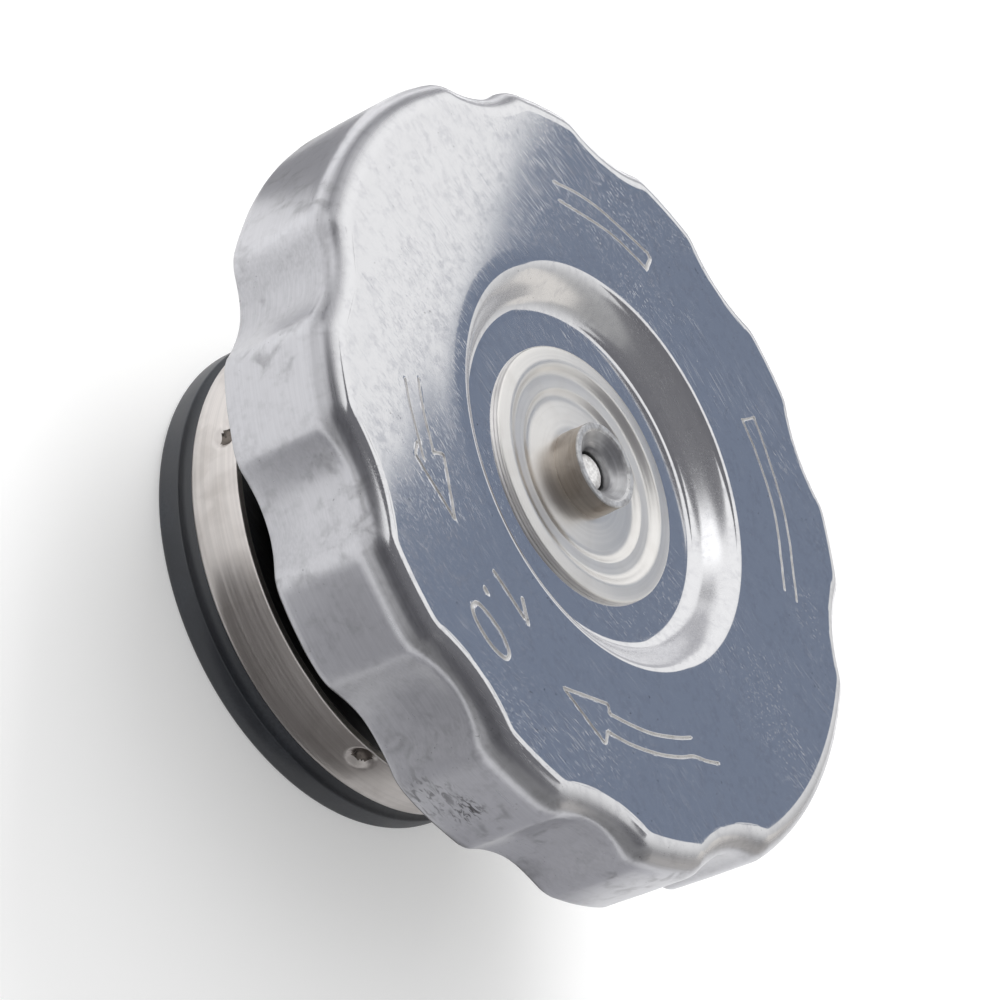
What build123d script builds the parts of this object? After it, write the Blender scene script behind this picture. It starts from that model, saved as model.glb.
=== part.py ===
from build123d import *
import os
from math import atan2, cos, radians, sin, tan

# A large pressure cap for a vehicle radiator, in millimetres. +Z runs up the cap's axis to the
# crown, and the origin is at the centre of the lower seal's underside, on which the loose cap
# stands. The crown's two wide grips and the bayonet ears under them lie on X.

# Clearances
running = 0.07  # radial, a pin that turns or slides in its hole
slip = 0.10  # radial, pieces that are pushed together by hand
free = 0.30  # pieces that pass each other

# Crown: one pressing of aluminium sheet, fluted for the fingers all round but for two wide grips
crown_sheet = 1.0
land_radius = 46.0
skirt_depth = 13.85
flute_spacing = 30  # degrees
flute_angles = [angle for angle in range(0, 360, flute_spacing) if angle % 180]
flute_depth = 1.8
flute_radius = 16.5
flute_blend = 5.5
edge_round = 3.2
pocket_depth = 0.55
pocket_radius = 9.75
pocket_drop = 4.5  # from the face to the centre of the pocket's round top
recess_foot = 20.0
recess_mouth = 22.9
recess_foot_round = 1.5
recess_mouth_round = 3.0
face_rise = 2.9  # from the ribbed disc's rim up to the crown's face
crown_hole_margin = 0.9  # the hole in the recess's floor reaches this far past the disc's step

# Ribbed disc, nickel-plated sheet
disc_sheet = 0.5
disc_radius = 15.0
disc_rim_width = 1.7
disc_groove_depth = 0.15
disc_groove_width = 0.4
disc_step_drop = 0.35
disc_step_width = 1.3
disc_slope_width = 1.1
disc_bead_drop = 0.80
disc_bead_width = 0.7
dish_edge_drop = 1.05
dish_slope_width = 2.6
dish_depth = 1.35  # from the rim's top to the lowest ring of the dish

# Hollow rivet
rivet_shank = 3.9
rivet_head = 5.1
rivet_foot_step = 0.2  # the foot of the head, on the dish, is this much thicker
rivet_foot_height = 1.8
rivet_head_height = 3.85
rivet_lip = 0.75
rivet_funnel = 1.7
rivet_bore = 2.4
rivet_tail = 5.6
rivet_tail_height = 1.2

# Locking shell, steel, with two bayonet ears
shell_sheet = 1.2
shell_round = 2.5
shell_lip_inset = 0.8  # the shell ends this far above the crown's lip
ear_reach = 4.65  # from the shell's inner wall
ear_angle = 50.0
ear_count = 2

# Pieces clamped between the crown and the spring
friction_sheet = 0.5
friction_radius = 18.0
diaphragm_sheet = 0.4
diaphragm_rim = 1.4
upper_seal_height = 3.2
upper_seal_margin = 4.55  # from the shell's inner wall
upper_seal_round = 0.6
upper_seal_proud = 0.3  # the seal's face stands this far below the clamp ring
clamp_sheet = 0.8
clamp_radius = 27.0
clamp_collar = 2.6
bell_sheet = 1.0
bell_height = 13.5
bell_lip = 1.4
bell_vent = 2.6
bell_vent_count = 6
tail_washer_sheet = 0.8
tail_washer_radius = 8.5

# Pressure spring
spring_wire = 3.6
spring_radius = 17.9
spring_length = 25.6
spring_live_turns = 4
spring_gap = 0.5

# Valve cup, the band that shows below the crown
cup_radius = 29.25
cup_sheet = 0.8
cup_height = 7.2
cup_round = 1.2
cup_boss_rise = 3.4
stake_half_angle = 40.4
stake_axis = 248.9  # degrees from +X, midway between two stakes
stake_drop = 1.9
stake_radius = 1.75
stake_reach = 1.25
vent_count = 6
vent_radius = 1.6
vent_circle = 7.5

# Spring pan, held in the cup by the stakes
pan_sheet = 0.7
pan_rim = 2.2

# Lower seal and its carrier
seal_height = 4.8
seal_groove_height = 1.6
seal_groove_depth = 1.2
seal_chamfer = 0.6
seal_wall = 2.65  # rubber between the carrier's flange and the seal's outside
carrier_flange_width = 2.0
carrier_sheet = 0.8
carrier_inner = 17.2
carrier_lift = 0.9  # the carrier's underside stays this far above the seal's

# Valve stem and the suction valve on its lower end
stem_radius = 1.75
stem_head_height = 3.4
stem_head_drop = 2.35  # the peened end lies this far below the rivet's rim
stem_collar = 3.0
stem_collar_height = 3.0
stem_peen = 2.6
stem_peen_height = 0.9
sleeve_wall = 1.2
sleeve_length = 5.6
suction_washer_sheet = 0.8
suction_washer_radius = 6.5
suction_seal_sheet = 1.0
suction_seal_radius = 11.5
suction_seal_bore = 4.2
suction_sheet = 0.8
suction_radius = 12.2
suction_hub = 3.9
suction_hub_height = 1.2
suction_wire = 0.6
suction_spring_radius = 4.6
suction_live_turns = 2

# Levels, from the lower seal's underside up
cup_floor = seal_height
cup_rim = cup_floor + cup_height
pan_floor = cup_floor + cup_sheet
spring_low = pan_floor + pan_sheet
spring_high = spring_low + spring_length
bell_top = spring_high + bell_sheet
diaphragm_top = bell_top + diaphragm_sheet
friction_top = diaphragm_top + friction_sheet
shell_top = friction_top + shell_sheet
crown_floor = shell_top + crown_sheet
disc_rim = shell_top + disc_sheet + dish_depth
face = disc_rim + face_rise
lip = face - skirt_depth
dish_seat = disc_rim - dish_depth
rivet_top = dish_seat + rivet_head_height
stem_top = rivet_top - stem_head_drop
stem_ledge = stem_top - stem_head_height
boss_floor = cup_floor + cup_boss_rise
boss_top = boss_floor + cup_sheet

# Radii that follow from their neighbours
rim_inner = disc_radius - disc_rim_width
step_inner = rim_inner - disc_step_width
bead_outer = step_inner - disc_slope_width
dish_radius = bead_outer - disc_bead_width
dish_low_radius = dish_radius - dish_slope_width
crown_hole = step_inner + crown_hole_margin
spring_outer = spring_radius + spring_wire / 2
spring_inner = spring_radius - spring_wire / 2
bell_inner = spring_outer + spring_gap
bell_outer = bell_inner + bell_sheet
boss_radius = spring_inner - spring_gap
cup_inner = cup_radius - cup_sheet
flute_floor = land_radius - flute_depth
flute_centre = flute_floor + flute_radius
pocket_centre = flute_floor - pocket_depth + pocket_radius
shell_outer = pocket_centre - pocket_radius - crown_sheet - free
shell_inner = shell_outer - shell_sheet
shell_lip = lip + shell_lip_inset
ear_radius = shell_inner - ear_reach
upper_seal_radius = shell_inner - upper_seal_margin
carrier_flange = cup_radius - seal_wall
carrier_radius = carrier_flange - carrier_flange_width
rivet_foot = rivet_head + rivet_foot_step
stem_head = rivet_bore - running
sleeve_outer = stem_radius + sleeve_wall
sleeve_low = boss_floor - sleeve_length


def section(*corners):
    """Closed outline in the plane through the axis: each corner is a radius and a level."""
    with BuildSketch(Plane.XZ) as outline:
        with BuildLine():
            Polyline(*corners, close=True)
        make_face()
    return outline.sketch


def ring(inner, outer, low, high):
    """Section of a plain ring."""
    return section((inner, low), (outer, low), (outer, high), (inner, high))


def round_corners(outline, radius, *corners):
    """Section with the named corners rounded."""
    with BuildSketch(Plane.XZ) as rounded:
        add(outline)
        fillet([rounded.vertices().sort_by_distance(corner)[0] for corner in corners], radius)
    return rounded.sketch


def round_the_axis(radius, angles, level=0):
    """Places at one radius and level and the given angles, each turned to face outwards."""
    return [Rot(0, 0, angle) * Pos(radius, 0, level) for angle in angles]


def write(piece, name):
    """Label a finished piece and write it."""
    piece.label = name
    export_step(piece, f"parts/{name}.step")


def crown_outline(inset):
    """Plan of the crown's wall, inset by a thickness of sheet."""
    with BuildSketch() as plan:
        Circle(land_radius - inset)
        with Locations(*round_the_axis(flute_centre, flute_angles)):
            Circle(flute_radius + inset, mode=Mode.SUBTRACT)
        fillet(plan.vertices(), flute_blend - inset)
    return plan.sketch


def crown_block(inset):
    """Solid crown with its rounded edge and flute pockets, inset by a thickness of sheet."""
    top = face - inset
    with BuildPart() as block:
        with BuildSketch(Plane.XY.offset(lip)):
            add(crown_outline(inset))
        extrude(amount=top - lip)
        fillet(block.faces().sort_by(Axis.Z)[-1].edges(), edge_round - inset)
        pocket = pocket_radius + inset
        pocket_level = face - pocket_drop
        with BuildSketch(Plane.XZ) as half:
            with BuildLine():
                Line((0, pocket_level + pocket), (0, lip))
                Line((0, lip), (pocket, lip))
                Line((pocket, lip), (pocket, pocket_level))
                CenterArc((0, pocket_level), pocket, 0, 90)
            make_face()
        capsule = revolve(half.sketch, axis=Axis.Z, mode=Mode.PRIVATE)
        with Locations(*round_the_axis(pocket_centre, flute_angles)):
            add(capsule, mode=Mode.SUBTRACT)
    return block.part


def recess_section(inset):
    """Section above the recess's floor, wall and mouth, lowered by a thickness of sheet."""
    slope = atan2(face - crown_floor, recess_mouth - recess_foot)
    shift = inset * tan(slope / 2)
    floor, top = crown_floor - inset, face - inset
    foot, mouth = recess_foot + shift, recess_mouth + shift
    reach = mouth + recess_mouth_round
    with BuildSketch(Plane.XZ) as outline:
        with BuildLine():
            FilletPolyline((0, floor), (foot, floor), (mouth, top), (reach, top),
                           radius=[recess_foot_round + inset, recess_mouth_round - inset])
            Polyline((reach, top), (reach, face + free), (0, face + free), (0, floor))
        make_face()
    return outline.sketch


def coil(mean_radius, wire, low, high, live_turns):
    """Compression spring with closed ends, ground flat at both levels."""
    rise = 1.03 * wire
    pitch = (high - low - 2 * rise) / live_turns
    with BuildPart() as spring:
        with BuildLine() as path:
            Helix(rise, rise, mean_radius, center=(0, 0, low))
            Helix(pitch, pitch * live_turns, mean_radius, center=(0, 0, low + rise))
            Helix(rise, rise, mean_radius, center=(0, 0, high - rise))
        with BuildSketch(Plane((mean_radius, 0, low), x_dir=(1, 0, 0), z_dir=(0, 1, 0))):
            Circle(wire / 2)
        sweep(path=path.wire(), is_frenet=True)
        split(bisect_by=Plane.XY.offset(low), keep=Keep.TOP)
        split(bisect_by=Plane.XY.offset(high), keep=Keep.BOTTOM)
    return spring.part


os.makedirs("parts", exist_ok=True)

# Crown
with BuildPart() as crown_cavity:
    add(crown_block(crown_sheet))
    revolve(recess_section(crown_sheet), axis=Axis.Z, mode=Mode.SUBTRACT)

with BuildPart() as crown:
    add(crown_block(0))
    revolve(recess_section(0), axis=Axis.Z, mode=Mode.SUBTRACT)
    add(crown_cavity.part, mode=Mode.SUBTRACT)
    with BuildSketch(Plane.XY.offset(crown_floor)):
        Circle(crown_hole)
    extrude(amount=-crown_sheet, mode=Mode.SUBTRACT)
write(crown.part, "crown")

# Ribbed disc: a rim that curls down to the crown's floor, a groove, two steps and a dish
groove_radius = disc_radius - disc_rim_width / 2
with BuildPart() as ribbed_disc:
    with BuildSketch(Plane.XZ):
        with BuildLine():
            Polyline(
                (rivet_shank + slip, dish_seat),
                (dish_low_radius, dish_seat),
                (dish_radius - slip, disc_rim - dish_edge_drop),
                (dish_radius, disc_rim - disc_bead_drop),
                (bead_outer, disc_rim - disc_bead_drop),
                (step_inner, disc_rim - disc_step_drop),
                (rim_inner - disc_groove_width, disc_rim - disc_step_drop),
                (rim_inner, disc_rim),
                (groove_radius - disc_groove_width / 2, disc_rim),
                (groove_radius, disc_rim - disc_groove_depth),
                (groove_radius + disc_groove_width / 2, disc_rim),
                (disc_radius, disc_rim),
                (disc_radius, crown_floor),
                (disc_radius - disc_sheet, crown_floor),
                (disc_radius - disc_sheet, disc_rim - disc_sheet),
                (rim_inner + disc_sheet / 2, disc_rim - disc_sheet),
                (rim_inner, disc_rim - disc_step_drop - disc_sheet),
                (step_inner, disc_rim - disc_step_drop - disc_sheet),
                (bead_outer, disc_rim - disc_bead_drop - disc_sheet),
                (dish_radius, disc_rim - dish_edge_drop - disc_sheet),
                (dish_low_radius, shell_top),
                (rivet_shank + slip, shell_top),
                close=True,
            )
        make_face()
    revolve(axis=Axis.Z)
    rim_edge = ribbed_disc.edges().filter_by(GeomType.CIRCLE).group_by(Axis.Z)[-1].sort_by(SortBy.RADIUS)[-1]
    fillet(rim_edge, disc_sheet * 0.8)
write(ribbed_disc.part, "ribbed_disc")

# Hollow rivet: head on the dish, funnel mouth, bore with a ledge for the stem, and a flared tail
rivet_low = spring_high - tail_washer_sheet - rivet_tail_height
tail_seat = spring_high - tail_washer_sheet
funnel_radius = rivet_head - rivet_lip
with BuildPart() as hollow_rivet:
    with BuildSketch(Plane.XZ):
        with BuildLine():
            Polyline(
                (rivet_bore, rivet_top - rivet_funnel),
                (rivet_bore, stem_ledge),
                (stem_radius + running, stem_ledge),
                (stem_radius + running, rivet_low),
                (rivet_tail, rivet_low),
                (rivet_tail, tail_seat),
                (rivet_shank, tail_seat),
                (rivet_shank, dish_seat),
                (rivet_foot, dish_seat),
                (rivet_foot, dish_seat + rivet_foot_height),
                (rivet_head, dish_seat + rivet_foot_height + rivet_foot_step),
                (rivet_head, rivet_top),
                (funnel_radius, rivet_top),
            )
            RadiusArc((funnel_radius, rivet_top), (rivet_bore, rivet_top - rivet_funnel), -2 * rivet_funnel)
        make_face()
    revolve(axis=Axis.Z)
    tail_edge = hollow_rivet.edges().filter_by(GeomType.CIRCLE).group_by(Axis.Z)[0].sort_by(SortBy.RADIUS)[-1]
    fillet(tail_edge, rivet_tail_height * 0.7)
write(hollow_rivet.part, "hollow_rivet")

# Locking shell: a flanged cup inside the crown, its lip turned in as two ears
with BuildPart() as locking_shell:
    shell_profile = section(
        (rivet_shank + slip, friction_top),
        (shell_inner, friction_top),
        (shell_inner, shell_lip),
        (shell_outer, shell_lip),
        (shell_outer, shell_top),
        (rivet_shank + slip, shell_top),
    )
    shell_profile = round_corners(shell_profile, shell_round, (shell_outer, shell_top))
    shell_profile = round_corners(shell_profile, shell_round - shell_sheet, (shell_inner, friction_top))
    revolve(shell_profile, axis=Axis.Z)
    ear_section = ring(ear_radius, shell_outer - shell_sheet / 2, shell_lip, shell_lip + shell_sheet)
    for ear in range(ear_count):
        start = 360 / ear_count * ear - ear_angle / 2
        ear_solid = revolve(ear_section, axis=Axis.Z, revolution_arc=ear_angle, mode=Mode.PRIVATE)
        add(Rot(0, 0, start) * ear_solid)
write(locking_shell.part, "locking_shell")

# Friction washer: lets the crown turn on the sealed stack below it
with BuildPart() as friction_washer:
    revolve(ring(rivet_shank + slip, friction_radius, diaphragm_top, friction_top), axis=Axis.Z)
write(friction_washer.part, "friction_washer")

# Diaphragm: a thin spring disc with a turned-down rim over the upper seal
diaphragm_radius = upper_seal_radius + slip + diaphragm_sheet
with BuildPart() as diaphragm:
    revolve(
        section(
            (rivet_shank + running, bell_top),
            (diaphragm_radius - diaphragm_sheet, bell_top),
            (diaphragm_radius - diaphragm_sheet, diaphragm_top - diaphragm_rim),
            (diaphragm_radius, diaphragm_top - diaphragm_rim),
            (diaphragm_radius, diaphragm_top),
            (rivet_shank + running, diaphragm_top),
        ),
        axis=Axis.Z,
    )
write(diaphragm.part, "diaphragm")

# Upper seal: the rubber ring that closes on the mouth of the filler neck, stepped for its clamp ring
upper_seal_low = bell_top - upper_seal_height
clamp_low = upper_seal_low + upper_seal_proud
clamp_top = clamp_low + clamp_sheet
with BuildPart() as upper_seal:
    upper_section = section(
        (bell_outer + slip, clamp_top),
        (clamp_radius + slip, clamp_top),
        (clamp_radius + slip, upper_seal_low),
        (upper_seal_radius, upper_seal_low),
        (upper_seal_radius, bell_top),
        (bell_outer + slip, bell_top),
    )
    revolve(round_corners(upper_section, upper_seal_round, (upper_seal_radius, upper_seal_low)), axis=Axis.Z)
write(upper_seal.part, "upper_seal")

# Clamp ring: pressed on the bell, it holds the upper seal up
with BuildPart() as seal_clamp_ring:
    revolve(
        section(
            (bell_outer, clamp_low - clamp_collar),
            (bell_outer + clamp_sheet, clamp_low - clamp_collar),
            (bell_outer + clamp_sheet, clamp_low),
            (clamp_radius, clamp_low),
            (clamp_radius, clamp_top),
            (bell_outer, clamp_top),
        ),
        axis=Axis.Z,
    )
write(seal_clamp_ring.part, "seal_clamp_ring")

# Spring bell: the vented housing round the pressure spring
bell_low = bell_top - bell_height
with BuildPart() as spring_bell:
    bell_profile = section(
        (rivet_shank + running, spring_high),
        (bell_inner, spring_high),
        (bell_inner, bell_low),
        (bell_outer + bell_lip, bell_low),
        (bell_outer + bell_lip, bell_low + bell_sheet),
        (bell_outer, bell_low + bell_sheet),
        (bell_outer, bell_top),
        (rivet_shank + running, bell_top),
    )
    revolve(bell_profile, axis=Axis.Z)
    vent_level = (clamp_low - clamp_collar + bell_low + bell_sheet) / 2
    with Locations((0, 0, vent_level)):
        with PolarLocations(bell_outer, bell_vent_count):
            Cylinder(bell_vent, 4 * bell_sheet, rotation=(0, 90, 0), mode=Mode.SUBTRACT)
write(spring_bell.part, "spring_bell")

# Tail washer: spreads the rivet's tail under the bell
with BuildPart() as tail_washer:
    revolve(ring(rivet_shank + slip, tail_washer_radius, tail_seat, spring_high), axis=Axis.Z)
write(tail_washer.part, "tail_washer")

# Pressure spring
write(coil(spring_radius, spring_wire, spring_low, spring_high, spring_live_turns), "pressure_spring")

# Valve cup: open towards the crown, with a raised and vented centre and four stakes in its wall
with BuildPart() as valve_cup:
    cup_profile = section(
        (stem_radius + slip, boss_floor),
        (boss_radius - cup_sheet, boss_floor),
        (boss_radius - cup_sheet, cup_floor),
        (cup_radius, cup_floor),
        (cup_radius, cup_rim),
        (cup_inner, cup_rim),
        (cup_inner, pan_floor),
        (boss_radius, pan_floor),
        (boss_radius, boss_top),
        (stem_radius + slip, boss_top),
    )
    cup_profile = round_corners(cup_profile, cup_round, (cup_radius, cup_floor), (boss_radius, boss_top))
    revolve(cup_profile, axis=Axis.Z)
    stake_angles = [stake_axis + side * stake_half_angle + half for half in (0, 180) for side in (-1, 1)]
    stake_level = cup_rim - stake_drop
    stake_centre = cup_inner + stake_radius - stake_reach
    stake_limit = Cylinder(cup_inner + cup_sheet / 2, 4 * cup_height, mode=Mode.PRIVATE)
    for place in round_the_axis(stake_centre, stake_angles, stake_level):
        add(place * Sphere(stake_radius, mode=Mode.PRIVATE) & stake_limit)
    for place in round_the_axis(stake_centre + cup_sheet / 2, stake_angles, stake_level):
        add(place * Sphere(stake_radius - cup_sheet / 2, mode=Mode.PRIVATE), mode=Mode.SUBTRACT)
    with BuildSketch(Plane.XY.offset(boss_floor)):
        with PolarLocations(vent_circle, vent_count):
            Circle(vent_radius)
    extrude(amount=cup_sheet, mode=Mode.SUBTRACT)
write(valve_cup.part, "valve_cup")

# Spring pan: seats the pressure spring, its rim caught under the stakes
pan_radius = cup_inner - slip
with BuildPart() as spring_pan:
    revolve(
        section(
            (boss_radius + slip, pan_floor),
            (pan_radius, pan_floor),
            (pan_radius, spring_low + pan_rim),
            (pan_radius - pan_sheet, spring_low + pan_rim),
            (pan_radius - pan_sheet, spring_low),
            (boss_radius + slip, spring_low),
        ),
        axis=Axis.Z,
    )
write(spring_pan.part, "spring_pan")

# Lower seal: rubber ring under the cup, waisted outside, slotted inside for its carrier
flange_slot = carrier_flange + slip
with BuildPart() as lower_seal:
    with BuildSketch(Plane.XZ):
        with BuildLine():
            Polyline(
                (cup_radius - seal_groove_depth, cup_floor),
                (carrier_radius + slip, cup_floor),
                (carrier_radius + slip, carrier_lift + carrier_sheet + slip),
                (flange_slot, carrier_lift + carrier_sheet + slip),
                (flange_slot, carrier_lift - slip),
                (carrier_radius + slip, carrier_lift - slip),
                (carrier_radius + slip, 0),
                (cup_radius - seal_chamfer, 0),
                (cup_radius, seal_chamfer),
                (cup_radius, cup_floor - seal_groove_height),
            )
            RadiusArc((cup_radius, cup_floor - seal_groove_height),
                      (cup_radius - seal_groove_depth, cup_floor), 2 * seal_groove_height)
        make_face()
    revolve(axis=Axis.Z)
write(lower_seal.part, "lower_seal")

# Seal carrier: welded under the cup, its flange grips the lower seal
carrier_wall = carrier_radius - carrier_sheet
with BuildPart() as seal_carrier:
    revolve(
        section(
            (carrier_inner, cup_floor - carrier_sheet),
            (carrier_wall, cup_floor - carrier_sheet),
            (carrier_wall, carrier_lift),
            (carrier_flange, carrier_lift),
            (carrier_flange, carrier_lift + carrier_sheet),
            (carrier_radius, carrier_lift + carrier_sheet),
            (carrier_radius, cup_floor),
            (carrier_inner, cup_floor),
        ),
        axis=Axis.Z,
    )
write(seal_carrier.part, "seal_carrier")

# Valve stem: one turned pin, upset at the top in the rivet's bore and peened below
washer_low = sleeve_low - suction_washer_sheet
peen_low = washer_low - stem_peen_height
with BuildPart() as valve_stem:
    revolve(
        section(
            (0, peen_low),
            (stem_peen, peen_low),
            (stem_peen, washer_low),
            (stem_radius, washer_low),
            (stem_radius, boss_top),
            (stem_collar, boss_top),
            (stem_collar, boss_top + stem_collar_height),
            (stem_radius, boss_top + stem_collar_height),
            (stem_radius, stem_ledge),
            (stem_head, stem_ledge),
            (stem_head, stem_top),
            (0, stem_top),
        ),
        axis=Axis.Z,
    )
    fillet(valve_stem.faces().sort_by(Axis.Z)[0].edges(), stem_peen_height * 0.7)
write(valve_stem.part, "valve_stem")

# Guide sleeve: spaces the washer below the cup and guides the suction valve
with BuildPart() as guide_sleeve:
    revolve(ring(stem_radius + slip, sleeve_outer, sleeve_low, boss_floor), axis=Axis.Z)
write(guide_sleeve.part, "guide_sleeve")

# Suction valve: a rubber-faced plate that closes the cup's vents from below
suction_top = boss_floor - suction_seal_sheet
suction_low = suction_top - suction_sheet
with BuildPart() as suction_seal:
    revolve(ring(suction_seal_bore, suction_seal_radius, suction_top, boss_floor), axis=Axis.Z)
write(suction_seal.part, "suction_seal")

with BuildPart() as suction_plate:
    revolve(
        section(
            (sleeve_outer + running, suction_low - suction_hub_height),
            (suction_hub, suction_low - suction_hub_height),
            (suction_hub, suction_low),
            (suction_radius, suction_low),
            (suction_radius, suction_top),
            (sleeve_outer + running, suction_top),
        ),
        axis=Axis.Z,
    )
write(suction_plate.part, "suction_plate")

write(coil(suction_spring_radius, suction_wire, sleeve_low, suction_low, suction_live_turns), "suction_spring")

with BuildPart() as suction_washer:
    revolve(ring(stem_radius + slip, suction_washer_radius, washer_low, sleeve_low), axis=Axis.Z)
write(suction_washer.part, "suction_washer")
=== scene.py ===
import logging
from dataclasses import dataclass, field
from enum import Enum
from math import atan2, cos, pi, radians, sin, tan
from typing import Any, Sequence

import bmesh
import bpy
import numpy as np
from mathutils import Matrix, Vector, noise
from mathutils.geometry import delaunay_2d_cdt


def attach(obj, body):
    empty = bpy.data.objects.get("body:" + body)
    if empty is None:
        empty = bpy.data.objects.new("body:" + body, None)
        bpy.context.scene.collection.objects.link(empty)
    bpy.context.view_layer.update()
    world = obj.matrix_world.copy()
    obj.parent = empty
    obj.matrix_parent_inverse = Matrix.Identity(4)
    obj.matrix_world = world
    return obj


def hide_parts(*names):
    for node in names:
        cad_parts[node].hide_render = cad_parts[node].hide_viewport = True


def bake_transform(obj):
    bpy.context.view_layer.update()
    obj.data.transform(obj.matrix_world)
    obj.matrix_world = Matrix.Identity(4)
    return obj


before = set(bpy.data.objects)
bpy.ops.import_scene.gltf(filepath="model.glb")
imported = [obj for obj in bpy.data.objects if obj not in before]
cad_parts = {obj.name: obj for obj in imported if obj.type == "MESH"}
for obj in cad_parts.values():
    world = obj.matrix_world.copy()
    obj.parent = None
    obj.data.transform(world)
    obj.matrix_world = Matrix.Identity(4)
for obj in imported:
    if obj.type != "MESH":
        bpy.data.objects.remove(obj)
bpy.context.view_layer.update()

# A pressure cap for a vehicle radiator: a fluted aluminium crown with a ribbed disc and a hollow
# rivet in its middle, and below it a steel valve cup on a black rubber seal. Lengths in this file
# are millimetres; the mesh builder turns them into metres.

LOG = logging.getLogger("radiator_cap")
MM = 0.001
WELD = 0.001  # points nearer than this, in millimetres, are one point
SHARP = 75.0  # an edge that turns further than this, in degrees, stays sharp
FLAT = (1, 1, 0)  # drops the level from a point
Pair = tuple[float, float]
Triple = tuple[float, float, float]
Socket = bpy.types.NodeSocket
Material = bpy.types.Material
Object = bpy.types.Object
Array = np.ndarray


# ---- colour and nodes -----------------------------------------------------------------------


def linear(colour: str) -> tuple[float, float, float, float]:
    """Turn an sRGB hex colour into linear light.

    Args:
        colour: six hex digits with a leading hash.

    Returns:
        Red, green, blue and an alpha of 1.
    """
    parts = [int(colour[at:at + 2], 16) / 255 for at in (1, 3, 5)]
    lit = [p / 12.92 if p <= 0.04045 else ((p + 0.055) / 1.055) ** 2.4 for p in parts]
    return (lit[0], lit[1], lit[2], 1.0)


class Step(Enum):
    """A step in a node tree: its type, the sockets it fills in order, its output and settings."""

    PLACE = "TexCoord", (), "Object", {}
    WAY = "TexCoord", (), "Generated", {}
    PARTS = "SeparateXYZ", (0,), 0, {}
    JOIN = "CombineXYZ", (0, 1, 2), 0, {}
    SCALED = "VectorMath", (0, "Scale"), 0, {"operation": "SCALE"}
    CARRIED = "VectorMath", (0, 1, 2), 0, {"operation": "MULTIPLY_ADD"}
    APART = "VectorMath", (0, 1), "Value", {"operation": "DISTANCE"}
    TOWARDS = "VectorMath", (0, 1), "Value", {"operation": "DOT_PRODUCT"}
    PLUS = "Math", (0, 1), 0, {"operation": "ADD"}
    CLIPPED_PLUS = "Math", (0, 1), 0, {"operation": "ADD", "use_clamp": True}
    TIMES = "Math", (0, 1), 0, {"operation": "MULTIPLY"}
    TIMES_PLUS = "Math", (0, 1, 2), 0, {"operation": "MULTIPLY_ADD"}
    CLIPPED_TIMES_PLUS = "Math", (0, 1, 2), 0, {"operation": "MULTIPLY_ADD", "use_clamp": True}
    MOST = "Math", (0, 1), 0, {"operation": "MAXIMUM"}
    ROOT = "Math", (0,), 0, {"operation": "SQRT"}
    BEARING = "Math", (0, 1), 0, {"operation": "ARCTAN2"}
    EASED = "MapRange", (0, 1, 2, 3, 4), 0, {"interpolation_type": "SMOOTHSTEP"}
    TINTED = "Mix", (0, 6, 7), 2, {"data_type": "RGBA"}
    BETWEEN = "Mix", (0, 2, 3), 0, {}
    LAID = "Mapping", (0, 2, 3), 0, {"vector_type": "POINT"}
    CLOUD = "TexNoise", ("Vector", "Scale", "Detail", "Distortion"), 0, {}
    SWIRL = "TexNoise", ("Vector", "Scale", "Detail"), 1, {}
    BUMP = "Bump", ("Height", "Distance", "Strength", "Normal"), 0, {}
    GLOW = "Emission", ("Color", "Strength"), 0, {}
    SKY = "Background", ("Color", "Strength"), 0, {}
    PAPER = "BsdfDiffuse", ("Color",), 0, {}
    CLEAR = "BsdfTransparent", (), 0, {}
    BOTH = "AddShader", (0, 1), 0, {}
    EITHER = "MixShader", (0, 1, 2), 0, {}
    BEHIND = "NewGeometry", (), "Backfacing", {}
    RAY = "LightPath", (), "Is Camera Ray", {}
    SURFACE = "BsdfPrincipled", (), 0, {}
    SHOWN = "OutputMaterial", ("Surface",), None, {}
    WORLD = "OutputWorld", ("Surface",), None, {}


def add(tree: bpy.types.NodeTree, step: Step, *values: Any) -> Any:
    """Add a step's node with its settings, and fill or link its inputs.

    Args:
        tree: the node tree.
        step: the kind of node, with its settings.
        values: for each socket of the step, a value or another node's output.

    Returns:
        The step's output socket, if it has one.
    """
    kind, sockets, output, settings = step.value
    made = tree.nodes.new("ShaderNode" + kind)
    for name, value in settings.items():
        setattr(made, name, value)
    for name, value in zip(sockets, values):
        if isinstance(value, Socket):
            tree.links.new(value, made.inputs[name])
        else:
            made.inputs[name].default_value = value
    return None if output is None else made.outputs[output]


def cleared(holder: Material | bpy.types.World) -> bpy.types.NodeTree:
    """Node tree of a material or world, emptied.

    Args:
        holder: the material or world.

    Returns:
        Its node tree.
    """
    holder.use_nodes = True
    holder.node_tree.nodes.clear()
    return holder.node_tree


class Grain(Enum):
    """How the marks of making run over a surface."""

    TURNED = "rings round the axis"
    ROLLED = "straight lines along the sheet"
    CAST = "no direction"


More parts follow.
